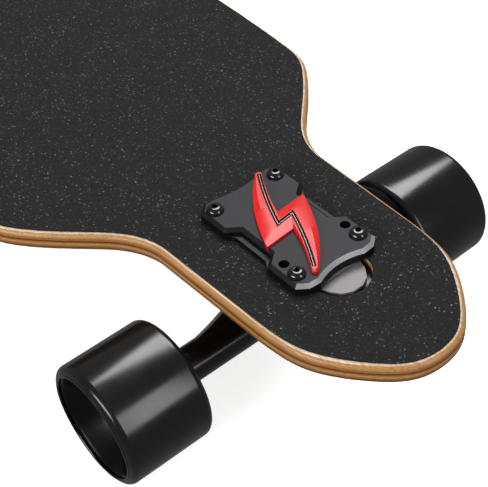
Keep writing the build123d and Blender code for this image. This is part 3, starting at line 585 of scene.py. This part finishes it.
# ---------------------------------------------------------------------------
# Mesh helpers
# ---------------------------------------------------------------------------
def piece(name: str, mesh: bmesh.types.BMesh, body: str, smooth: float = 35.0) -> bpy.types.Object:
    """Turn a bmesh into a finished object that rides on a body.

    Args:
        name: The object's name.
        mesh: The shape, in the frame's coordinates; it is freed.
        body: The body that carries it.
        smooth: Edges sharper than this angle, in degrees, stay sharp.

    Returns:
        The new object.
    """
    limit = math.radians(smooth)
    for face in mesh.faces:
        face.smooth = True
    for edge in mesh.edges:
        edge.smooth = not (edge.is_manifold and edge.calc_face_angle(0.0) > limit)
    data = bpy.data.meshes.new(name)
    mesh.to_mesh(data)
    mesh.free()
    thing = bpy.data.objects.new(name, data)
    bpy.context.scene.collection.objects.link(thing)
    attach(thing, body)
    return thing


def soften(thing: bpy.types.Object, width: float, segments: int, angle: float) -> None:
    """Round an object's sharp edges with a Bevel modifier.

    Args:
        thing: The object.
        width: Width of the rounding.
        segments: Faces across it.
        angle: Edges sharper than this, in degrees, are rounded.
    """
    edges = thing.modifiers.new("edges", "BEVEL")
    edges.width = width
    edges.segments = segments
    edges.limit_method = "ANGLE"
    edges.angle_limit = math.radians(angle)
    edges.harden_normals = True


def spun(profile: list[Point], steps: int) -> bmesh.types.BMesh:
    """Spin a closed (radius, station) outline about the Y axis.

    Args:
        profile: The outline; stations run along +Y.
        steps: Faces round the turn.

    Returns:
        The ring.
    """
    mesh = bmesh.new()
    verts = [mesh.verts.new((r, s, 0.0)) for r, s in profile]
    edges = [mesh.edges.new(pair) for pair in zip(verts, verts[1:] + verts[:1])]
    bmesh.ops.spin(mesh, geom=verts + edges, cent=(0, 0, 0), axis=(0, 1, 0), angle=math.tau,
                   steps=steps, use_merge=True)
    bmesh.ops.remove_doubles(mesh, verts=mesh.verts, dist=1e-7)
    bmesh.ops.recalc_face_normals(mesh, faces=mesh.faces)
    return mesh


def arc(centre: Point, radius: float, start: float, end: float, steps: int) -> list[Point]:
    """Points of a circular arc.

    Args:
        centre: The circle's centre.
        radius: Its radius.
        start: First angle in degrees.
        end: Last angle in degrees.
        steps: Number of spans.

    Returns:
        steps + 1 points.
    """
    angles = [math.radians(start + (end - start) * k / steps) for k in range(steps + 1)]
    return [(centre[0] + radius * math.cos(a), centre[1] + radius * math.sin(a)) for a in angles]


def middle(node: str) -> Vector:
    """The middle of a CAD node's box."""
    low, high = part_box(node)
    return Vector([(a + b) / 2 for a, b in zip(low, high)])


def record_slots() -> dict[str, str]:
    """The record's material slot of each node."""
    return {row["node"]: row["material_slot"] for row in frame["record"]["subparts"]}


@dataclass
class Refined:
    """A CAD node's own shape, merged and smooth-shaded, with softened edges.

    Edges sharper than smooth, in degrees, stay sharp, or are rounded where there is a bevel. A pull_in
    above zero makes a sheet smaller all round.
    """

    node: str
    bevel: float = 0.0
    segments: int = 2
    smooth: float = 32.0
    flat: float = 0.6
    pull_in: float = 0.0
    hole_reach: float = 22.0 * MM
    wall_lean: float = 0.2

    def build(self, paint: Paintbox) -> bpy.types.Object:
        """Copy the node's mesh, merge it and put the copy in its place.

        Args:
            paint: The materials.

        Returns:
            The new object.
        """
        source = frame["nodes"][self.node]
        mesh = bmesh.new()
        mesh.from_mesh(source.data)
        bmesh.ops.remove_doubles(mesh, verts=mesh.verts, dist=1e-6)
        flat = math.radians(self.flat)
        bmesh.ops.dissolve_limit(mesh, angle_limit=flat, verts=mesh.verts, edges=mesh.edges)
        if self.pull_in:
            self.shrink(mesh)
        made = piece(f"{self.node}_shell", mesh, source["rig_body"], self.smooth)
        if self.bevel:
            soften(made, self.bevel, self.segments, self.smooth)
        slot = record_slots()[self.node]
        paint.put(made, slot)
        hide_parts(self.node)
        return made

    def shrink(self, mesh: bmesh.types.BMesh) -> None:
        """Move a sheet's outer walls inwards; holes near its middle line keep their size.

        Args:
            mesh: The sheet.
        """
        mesh.normal_update()
        end = max(abs(v.co.x) for v in mesh.verts) - self.hole_reach
        moves = {}
        for vert in mesh.verts:
            walls = [f.normal.xy for f in vert.link_faces if abs(f.normal.z) < self.wall_lean]
            if walls and (abs(vert.co.y) > self.hole_reach or abs(vert.co.x) > end):
                moves[vert] = sum(walls, Vector((0.0, 0.0))).normalized() * -self.pull_in
        for vert, move in moves.items():
            vert.co.xy += move


# ---------------------------------------------------------------------------
# Sub-assemblies
# ---------------------------------------------------------------------------
@dataclass
class Wheel:
    """Urethane tyre: rounded edges, an outboard lip and a smooth dish."""

    node: str
    edge_round: float = 4.0 * MM
    lip_height: float = 0.6 * MM
    lip_round: float = 0.18 * MM
    lip_rings: tuple = (0.905, 0.893, 0.882, 0.868, 0.857, 0.850)
    dish_mouth: float = 0.845
    shoulder: float = 2.5 * MM
    shoulder_sink: float = 3.6 * MM
    shoulder_reach: float = 1.2 * MM
    hub_mouth: float = 21.0 * MM
    motor_gap: float = 1.5 * MM
    inner_chamfer: Point = (1.0 * MM, 1.5 * MM)
    clearance: float = 0.02 * MM
    steps: int = 160
    arc_steps: int = 10
    bowl_steps: int = 16

    def build(self, paint: Paintbox) -> bpy.types.Object:
        """Spin the tyre in the place of its CAD node.

        Args:
            paint: The materials.

        Returns:
            The tyre.
        """
        low, high = (Vector(c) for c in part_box(self.node))
        centre = (low + high) / 2
        radius = (high.z - low.z) / 2 - self.clearance
        half = (high.y - low.y) / 2
        mesh = spun(self.outline(radius, half, *self.bore_sizes(half)), self.steps)
        if centre.y < 0:
            half_turn = Matrix.Rotation(math.pi, 3, "Z")
            bmesh.ops.rotate(mesh, cent=(0, 0, 0), matrix=half_turn, verts=mesh.verts)
        bmesh.ops.translate(mesh, vec=centre, verts=mesh.verts)
        self.mark_dish(mesh, centre, self.dish_mouth * radius)
        made = piece(f"{self.node}_cast", mesh, frame["nodes"][self.node]["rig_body"], 40.0)
        paint.put(made, "black_urethane")
        # Second slot: painted shade for the dish.
        made.data.materials.append(paint.get("shaded_dish_urethane"))
        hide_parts(self.node)
        return made

    @staticmethod
    def mark_dish(mesh: bmesh.types.BMesh, centre: Vector, mouth: float) -> None:
        """Give the faces inside the mouth the second slot, a darker, less shiny finish that paints shade
        into the dish.

        Args:
            mesh: The tyre.
            centre: Its middle.
            mouth: Radius of the dish's mouth.
        """
        for face in mesh.faces:
            spot = face.calc_center_median() - centre
            face.material_index = int(math.hypot(spot.x, spot.z) < mouth)

    def bore_sizes(self, half: float) -> tuple[float, float, float, float]:
        """Read the sizes of the bore from the parts inside the tyre.

        Args:
            half: Half the tyre's width.

        Returns:
            Bore radius, depth of the outboard recess, depth of the inboard one and its mouth radius.
        """
        front = self.node.startswith("front")
        inner = self.node.replace("tyre", "core" if front else "rotor_can")
        low, high = (Vector(c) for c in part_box(inner))
        bore = (high.z - low.z) / 2
        station = abs(middle(self.node).y)
        near, far = sorted((abs(low.y), abs(high.y)))
        inner_depth = near - (station - half)
        if front:
            return bore, station + half - far, inner_depth, self.hub_mouth
        cover_low, cover_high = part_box(self.node.replace("tyre", "motor_cover"))
        far = max(abs(cover_low[1]), abs(cover_high[1]))
        return bore, station + half - far, inner_depth, bore + self.motor_gap

    def outline(self, radius: float, half: float, bore: float, outer_depth: float, inner_depth: float,
                inner_mouth: float) -> list[Point]:
        """The tyre's cross-section as (radius, station) points.

        Args:
            radius: Tread radius.
            half: Half the tyre's width.
            bore: Radius of what sits inside.
            outer_depth: Outboard face down to that part.
            inner_depth: Inboard face down to that part.
            inner_mouth: Radius of the inboard recess at its mouth.

        Returns:
            A closed outline.
        """
        face = half - self.lip_height
        low = half - self.lip_round
        lip = [(ring * radius, s) for ring, s in zip(self.lip_rings, (face, low, half, half, low, face))]
        mouth = self.dish_mouth * radius
        inward = arc((mouth - self.shoulder, face - self.shoulder_sink), self.shoulder, 90, 20, 8)
        shoulder = [(2 * mouth - self.shoulder_reach - r, s) for r, s in inward]
        start_r, start_s = shoulder[-1]
        end_s = half - outer_depth
        shares = [k / self.bowl_steps for k in range(1, self.bowl_steps + 1)]
        bowl = [(start_r + (bore - start_r) * t, start_s + (end_s - start_s) * math.sin(t * math.pi / 2))
                for t in shares]
        across, along = self.inner_chamfer
        inner = [(bore, -half + inner_depth), (inner_mouth - across, -half + along), (inner_mouth, -half)]
        edge = self.edge_round
        low_edge = arc((radius - edge, -half + edge), edge, -90, 0, self.arc_steps)
        high_edge = arc((radius - edge, face - edge), edge, 0, 90, self.arc_steps)
        outline = [*lip, *shoulder, *bowl, *inner, *low_edge, *high_edge]
        return [(max(r, bore), s) for r, s in outline]


@dataclass
class DeckScrew:
    """One button-head screw with a hexagon socket, and its shank."""

    place: Vector
    seat: float
    tail: float
    body: str
    index: int
    head_r: float = 4.8 * MM
    head_height: float = 2.9 * MM
    shank_r: float = 2.5 * MM
    socket_r: float = 1.75 * MM
    socket_depth: float = 1.7 * MM
    top_r: float = 2.35 * MM
    dome_angles: tuple = (8, 78)
    dome_steps: int = 9
    tail_chamfer: float = 0.5 * MM
    rim_step: float = 0.2 * MM
    turn_each: float = 17.0
    steps: int = 48

    def mesh(self) -> bmesh.types.BMesh:
        """Spin the shank and dome, and bridge the socket's hexagon to the dome's open top.

        Returns:
            The screw on the Z axis, with its seat at zero.
        """
        dome = arc((0, 0), 1.0, *self.dome_angles, self.dome_steps)
        scale_r = (self.head_r - self.top_r) / (dome[0][0] - dome[-1][0])
        scale_z = self.head_height / (dome[-1][1] - dome[0][1])
        side = [(self.top_r + (r - dome[-1][0]) * scale_r, (s - dome[0][1]) * scale_z) for r, s in dome]
        drop = self.tail - self.seat
        outline = [(self.shank_r - self.tail_chamfer, drop), (self.shank_r, drop + self.tail_chamfer),
                   (self.shank_r, 0.0), (self.head_r - self.rim_step, 0.0), *side]
        mesh = bmesh.new()
        verts = [mesh.verts.new((r, 0.0, s)) for r, s in outline]
        edges = [mesh.edges.new(pair) for pair in zip(verts, verts[1:])]
        bmesh.ops.spin(mesh, geom=verts + edges, cent=(0, 0, 0), axis=(0, 0, 1), angle=math.tau,
                       steps=self.steps, use_merge=True)
        bmesh.ops.remove_doubles(mesh, verts=mesh.verts, dist=1e-7)
        rims = [e for e in mesh.edges if e.is_boundary]
        low_rim = [e for e in rims if e.verts[0].co.z < 0]
        high_rim = [e for e in rims if e.verts[0].co.z > 0]
        bmesh.ops.contextual_create(mesh, geom=low_rim)
        ring = bmesh.ops.create_circle(mesh, segments=6, radius=self.socket_r, cap_ends=False,
                                       matrix=Matrix.Translation((0, 0, self.head_height)))["verts"]
        hexagon = list({e for v in ring for e in v.link_edges})
        bmesh.ops.bridge_loops(mesh, edges=high_rim + hexagon)
        wall = bmesh.ops.extrude_edge_only(mesh, edges=hexagon)["geom"]
        floor = [v for v in wall if isinstance(v, bmesh.types.BMVert)]
        bmesh.ops.translate(mesh, vec=(0, 0, -self.socket_depth), verts=floor)
        bmesh.ops.contextual_create(mesh, geom=[e for e in wall if isinstance(e, bmesh.types.BMEdge)])
        bmesh.ops.recalc_face_normals(mesh, faces=mesh.faces)
        return mesh

    def build(self, paint: Paintbox) -> bpy.types.Object:
        """Make the screw at its place.

        Args:
            paint: The materials.

        Returns:
            The screw.
        """
        mesh = self.mesh()
        turn = Matrix.Rotation(math.radians(self.turn_each * self.index), 3, "Z")
        bmesh.ops.rotate(mesh, cent=(0, 0, 0), matrix=turn, verts=mesh.verts)
        bmesh.ops.translate(mesh, vec=(self.place.x, self.place.y, self.seat), verts=mesh.verts)
        made = piece(f"deck_screw_{self.index}", mesh, self.body, 38.0)
        paint.put(made, "black_screw")
        return made


@dataclass
class Inlay:
    """Two red blades with sloping facets that meet at a zigzag groove holding a silver line.

    Points are in millimetres about the bolt pattern's centre, for one half; the other half is the same
    half turned by 180 degrees.
    """

    end: str
    centre_x: float
    tip: Point = (-38.5, 13.9)
    blade_start: Point = (-38.3, 12.0)
    flank_start: Point = (-36.3, 14.9)
    blade_mid: Point = (-17.4, -6.4)
    corner: Point = (8.8, -19.8)
    notch: Point = (7.4, -1.3)
    inner_mid: Point = (22.0, -7.0)
    groove_start: Point = (-35.4, 12.5)
    groove_mid: Point = (-18.2, 2.9)
    groove_corner: Point = (0.7, -5.4)
    blade_facet: float = 0.50
    cross_facet: float = 0.93
    flank_facet: float = 0.45
    drop: float = 1.2
    groove_half: float = 1.15
    groove_end: float = 0.9
    groove_depth: float = 0.7
    line_half: float = 0.14
    line_rise: float = 0.42
    line_depth: float = 0.45
    edge_round: float = 0.16
    samples: int = 18
    cross_samples: int = 4

    @staticmethod
    def arc_through(start: Point, middle: Point, end: Point, count: int) -> list[Vector]:
        """Points along the circle through three points.

        Args:
            start: First point.
            middle: A point on the way.
            end: Last point.
            count: Number of spans.

        Returns:
            count + 1 points.
        """
        a, b, c = Vector(start), Vector(middle), Vector(end)
        aa, bb, cc = a.length_squared, b.length_squared, c.length_squared
        d = 2 * (a.x * (b.y - c.y) + b.x * (c.y - a.y) + c.x * (a.y - b.y))
        ux = (aa * (b.y - c.y) + bb * (c.y - a.y) + cc * (a.y - b.y)) / d
        uy = (aa * (c.x - b.x) + bb * (a.x - c.x) + cc * (b.x - a.x)) / d
        centre = Vector((ux, uy))
        first = math.atan2(a.y - uy, a.x - ux)
        last = math.atan2(c.y - uy, c.x - ux)
        sweep = (last - first + math.pi) % math.tau - math.pi
        radius = (a - centre).length
        angles = [first + sweep * k / count for k in range(count + 1)]
        return [centre + radius * Vector((math.cos(angle), math.sin(angle))) for angle in angles]

    def straight(self, start: Point, end: Point) -> list[Vector]:
        """Points along a straight stretch, without its first."""
        count = self.cross_samples
        return [Vector(start).lerp(Vector(end), k / count) for k in range(1, count + 1)]

    def rail(self, side: float) -> list[Vector]:
        """A line along the groove, beside its middle line, with both ends drawn to a point.

        Args:
            side: Distance to the left of the middle line; negative is to the right.

        Returns:
            The line's points.
        """
        end, far_mid, far_corner = (
            (-x, -y) for x, y in (self.groove_start, self.groove_mid, self.groove_corner)
        )
        first = self.arc_through(self.groove_start, self.groove_mid, self.groove_corner, self.samples)
        last = self.arc_through(far_corner, far_mid, end, self.samples)
        line = [*first, *self.straight(self.groove_corner, far_corner), *last[1:]]
        steps = [(b - a).normalized() for a, b in zip(line, line[1:])]
        moved = []
        for point, behind, ahead in zip(line, steps[:1] + steps, steps + steps[-1:]):
            left = Vector((-ahead.y, ahead.x))
            mitre = (left + Vector((-behind.y, behind.x))).normalized()
            moved.append(point + mitre * (side / max(0.5, mitre.dot(left))))
        return [line[0] - steps[0] * self.groove_end, *moved, line[-1] + steps[-1] * self.groove_end]

    def outer(self) -> list[Vector]:
        """The half's outer edge.

        Returns:
            Points along the blade, the corner, the cross edge and the thin inner flank.
        """
        flank_end = (-self.flank_start[0], -self.flank_start[1])
        blade = self.arc_through(self.blade_start, self.blade_mid, self.corner, self.samples)
        flank = self.arc_through(self.notch, self.inner_mid, flank_end, self.samples)
        cross = self.straight(self.corner, self.notch)
        return [Vector(self.tip), *blade, *cross, *flank[1:], Vector(self.tip) * -1]

    def wire(self, mesh: bmesh.types.BMesh, points: list[Vector],
             height: float) -> list[bmesh.types.BMEdge]:
        """Add a line of edges, turned and placed for this end of the board.

        Args:
            mesh: The mesh that takes them.
            points: The line, in millimetres.
            height: Its height in metres.

        Returns:
            The edges.
        """
        sign = 1 if self.end == "front" else -1
        verts = [mesh.verts.new((self.centre_x + sign * p.x * MM, sign * p.y * MM, height)) for p in points]
        return [mesh.edges.new(pair) for pair in zip(verts, verts[1:])]

    @staticmethod
    def skin(mesh: bmesh.types.BMesh, wires: list[list[bmesh.types.BMEdge]]) -> None:
        """Bridge each line of edges to the next.

        Args:
            mesh: The mesh that holds them.
            wires: Lines of equal length, in order.
        """
        for first, second in zip(wires, wires[1:]):
            bmesh.ops.bridge_loops(mesh, edges=first + second)

    def ridge(self, outer: list[Vector], lip: list[Vector]) -> list[Vector]:
        """The facets' inner edge, between the outer edge and the groove's lip.

        Args:
            outer: The outer edge.
            lip: The groove's lip, point for point.

        Returns:
            Points that share out each width between the slope and the flat.
        """
        blade = [self.blade_facet] * (self.samples + 1)
        cross = [self.cross_facet] * (self.cross_samples + 1)
        flank = [self.flank_facet] * (self.samples + 1)
        return [point.lerp(edge, share) for point, edge, share in zip(outer, lip, blade + cross + flank)]

    def half(self, mesh: bmesh.types.BMesh, turn: int, floor: float, pit: float, top: float) -> None:
        """Add one half: underside, wall, facet, flat, groove wall and half of the groove's floor.

        Args:
            mesh: The mesh that takes it.
            turn: 1 for the half as given, -1 for the one turned by 180 degrees.
            floor: Height of the underside.
            pit: Height of the groove's floor.
            top: Height of the flat.
        """
        outer = [p * turn for p in self.outer()]
        lip = [p * turn for p in self.rail(-self.groove_half)]
        across = [p * turn for p in self.rail(self.groove_half)]
        centre = [(a + b) / 2 for a, b in zip(lip, across)]
        lines = ((centre, floor), (outer, floor), (outer, top - self.drop * MM),
                 (self.ridge(outer, lip), top), (lip, top), (lip, pit), (centre, pit))
        self.skin(mesh, [self.wire(mesh, points, height) for points, height in lines])

    def build(self, paint: Paintbox) -> bpy.types.Object:
        """Model both halves, the groove between them and the silver line.

        Args:
            paint: The materials.

        Returns:
            The blades.
        """
        low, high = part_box(f"{self.end}_bolt_inlay")
        pit = high[2] - self.groove_depth * MM
        mesh = bmesh.new()
        for turn in (1, -1):
            self.half(mesh, turn, low[2], pit, high[2])
        bmesh.ops.remove_doubles(mesh, verts=mesh.verts, dist=2e-6)
        bmesh.ops.recalc_face_normals(mesh, faces=mesh.faces)
        for face in mesh.faces:
            face.material_index = int(any(abs(v.co.z - pit) < 1e-6 for v in face.verts))
        made = piece(f"{self.end}_inlay_blades", mesh, "deck", 18.0)
        soften(made, self.edge_round * MM, 2, 24.0)
        paint.put(made, "red_lacquer")
        made.data.materials.append(paint.get("black_groove"))
        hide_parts(f"{self.end}_bolt_inlay")
        self.line(pit + self.line_rise * MM, paint)
        return made

    def line(self, top: float, paint: Paintbox) -> None:
        """The thin silver strip that runs along the groove.

        Args:
            top: Height of its top.
            paint: The materials.
        """
        mesh = bmesh.new()
        left, right = self.rail(self.line_half), self.rail(-self.line_half)
        low = top - self.line_depth * MM
        corners = ((left, top), (right, top), (right, low), (left, low))
        wires = [self.wire(mesh, points, height) for points, height in corners]
        self.skin(mesh, wires + wires[:1])
        bmesh.ops.remove_doubles(mesh, verts=mesh.verts, dist=1e-6)
        bmesh.ops.recalc_face_normals(mesh, faces=mesh.faces)
        made = piece(f"{self.end}_silver_line", mesh, "deck", 30.0)
        paint.put(made, "silver_line")


@dataclass
class TruckTop:
    """What shows on the deck at one end: cover plate, inlay and screws."""

    end: str
    bolt_x: float = 31.75 * MM
    bolt_y: float = 20.65 * MM
    bolt_to_nose: float = 42.6 * MM
    plate_edge: float = 0.22 * MM

    def __post_init__(self) -> None:
        """Find the bolt pattern's centre from the frame."""
        low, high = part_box(f"{self.end}_cover_plate")
        x = high[0] - self.bolt_to_nose if self.end == "front" else low[0] + self.bolt_to_nose
        self.centre = Vector((x, 0.0, high[2]))

    def build(self, paint: Paintbox) -> None:
        """Dress the plate and model the inlay.

        Args:
            paint: The materials.
        """
        Refined(f"{self.end}_cover_plate", self.plate_edge, 2, 24.0).build(paint)
        Inlay(self.end, self.centre.x).build(paint)

    def screws(self, paint: Paintbox, first: int) -> list[bpy.types.Object]:
        """The four deck screws.

        Args:
            paint: The materials.
            first: Number of the first screw.

        Returns:
            The screws.
        """
        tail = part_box("deck_screws")[0][2]
        corners = [(sx, sy) for sx in (1, -1) for sy in (1, -1)]
        places = [self.centre + Vector((sx * self.bolt_x, sy * self.bolt_y, 0)) for sx, sy in corners]
        return [DeckScrew(place, self.centre.z, tail, "deck", first + k).build(paint)
                for k, place in enumerate(places)]


@dataclass
class Deck:
    """The board itself with its grip tape."""

    grip_edge: float = 0.15 * MM
    grip_inset: float = 0.6 * MM

    def build(self, paint: Paintbox) -> None:
        """Smooth the board and lay the grip.

        Args:
            paint: The materials.
        """
        Refined("deck", smooth=30.0).build(paint)
        Refined("grip_tape", self.grip_edge, 1, pull_in=self.grip_inset).build(paint)


@dataclass
class Truck:
    """Hanger, baseplate and tyres of one end."""

    end: str
    hanger_edge: float = 0.5 * MM
    baseplate_edge: float = 0.4 * MM
    smooth: float = 34.0

    def build(self, paint: Paintbox) -> None:
        """Refine the hanger and the baseplate and spin the tyres.

        Args:
            paint: The materials.
        """
        Refined(f"{self.end}_hanger", self.hanger_edge, 3, self.smooth).build(paint)
        Refined(f"{self.end}_baseplate", self.baseplate_edge, 2, self.smooth).build(paint)
        for side in ("left", "right"):
            Wheel(f"{self.end}_{side}_tyre").build(paint)


@dataclass(frozen=True)
class SoftBox:
    """A rectangular soft light; its place and aim are measured from below the front truck's centre."""

    name: str
    place: tuple[float, float, float]
    aim: tuple[float, float, float]
    size: Point
    power: float

    def build(self, x: float) -> None:
        """Add the light.

        Args:
            x: The truck centre's place along the board.
        """
        data = bpy.data.lights.new(self.name, "AREA")
        data.shape = "RECTANGLE"
        data.size, data.size_y = self.size
        data.energy = self.power
        thing = bpy.data.objects.new(self.name, data)
        bpy.context.scene.collection.objects.link(thing)
        start = Vector(self.place) + Vector((x, 0.0, 0.0))
        turn = (Vector(self.aim) - Vector(self.place)).to_track_quat("-Z", "Y").to_matrix().to_4x4()
        thing.matrix_world = Matrix.Translation(start) @ turn


@dataclass
class Studio:
    """Camera, lights and a plain pale floor."""

    truck_centre: Vector
    grip_top: float
    camera_offset: tuple = (0.3324, -0.2747, 0.4042)
    aim_offset: tuple = (-0.00795, -0.02151, 0.0)
    roll: float = -4.66
    lens: float = 84.76
    sensor: float = 36.0
    floor_size: float = 6.0
    floor_glow: float = 0.75
    world_strength: float = 0.22
    soft_boxes: tuple[SoftBox, ...] = (
        SoftBox("key", (-0.60, 0.75, 1.5), (0, 0, 0.05), (1.0, 0.75), 24.0),
        SoftBox("side", (0.1, -1.5, 0.9), (0, -0.1, 0.05), (1.2, 0.40), 19.0),
        SoftBox("nose", (1.4, 0.35, 0.9), (0, 0, 0.05), (0.5, 1.0), 8.0),
    )

    def camera(self) -> None:
        """Look at the front truck from beside the nose."""
        data = bpy.data.cameras.new("camera")
        data.lens = self.lens
        data.sensor_width = self.sensor
        data.clip_start = 0.01
        data.clip_end = 50.0
        thing = bpy.data.objects.new("camera", data)
        bpy.context.scene.collection.objects.link(thing)
        base = Vector((self.truck_centre.x, 0.0, self.grip_top))
        eye = base + Vector(self.camera_offset)
        ahead = (base + Vector(self.aim_offset) - eye).normalized()
        level = ahead.cross(Vector((0, 0, 1))).normalized()
        upright = level.cross(ahead)
        turn = math.radians(self.roll)
        right = level * math.cos(turn) + upright * math.sin(turn)
        up = right.cross(ahead)
        rotation = Matrix((right, up, -ahead)).transposed()
        thing.matrix_world = Matrix.Translation(eye) @ rotation.to_4x4()
        bpy.context.scene.camera = thing

    def floor(self) -> None:
        """A wide pale floor that reads as plain white and isn't mirrored in the dark finishes."""
        mesh = bmesh.new()
        bmesh.ops.create_grid(mesh, x_segments=1, y_segments=1, size=self.floor_size)
        data = bpy.data.meshes.new("floor")
        mesh.to_mesh(data)
        mesh.free()
        thing = bpy.data.objects.new("floor", data)
        bpy.context.scene.collection.objects.link(thing)
        graph = Graph("pale_floor")
        data.materials.append(graph.finish({
            "Base Color": graph.mix(graph.noise(3.0), (0.88, 0.88, 0.88), (0.90, 0.90, 0.90)),
            "Roughness": 0.9,
            "Specular IOR Level": 0.0,
            "Emission Color": (1.0, 1.0, 1.0),
            "Emission Strength": self.floor_glow,
        }))
        thing.visible_glossy = False
        thing.visible_diffuse = False

    def world(self) -> None:
        """Even white light from all round."""
        world = bpy.data.worlds.new("studio")
        world.use_nodes = True
        background = world.node_tree.nodes["Background"]
        background.inputs["Color"].default_value = (1.0, 1.0, 1.0, 1.0)
        background.inputs["Strength"].default_value = self.world_strength
        bpy.context.scene.world = world
        bpy.context.scene.view_settings.view_transform = "Standard"

    def build(self) -> None:
        """Set up the whole studio."""
        self.camera()
        self.floor()
        for soft_box in self.soft_boxes:
            soft_box.build(self.truck_centre.x)
        self.world()


def dress_nodes(paint: Paintbox) -> None:
    """Give every CAD node the finish of its slot."""
    for node, slot in record_slots().items():
        paint.put(frame["nodes"][node], slot)


def main() -> None:
    """Build the board."""
    logging.basicConfig(level=logging.INFO, format="%(message)s")
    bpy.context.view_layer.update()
    paint = Paintbox()
    dress_nodes(paint)
    ends = ("front", "rear")
    tops = [TruckTop(end) for end in ends]
    steps: list[tuple[str, Deck | TruckTop | Truck]] = [("deck", Deck())]
    steps += [(f"{top.end} cover plate", top) for top in tops]
    steps += [(f"{end} truck", Truck(end)) for end in ends]
    for name, step in steps:
        step.build(paint)
        LOG.info("built %s", name)
    screws = [screw for k, top in enumerate(tops) for screw in top.screws(paint, 4 * k)]
    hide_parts("deck_screws")
    LOG.info("built deck screws")
    Studio(tops[0].centre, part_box("grip_tape")[1][2]).build()


if __name__ == "__main__":
    main()
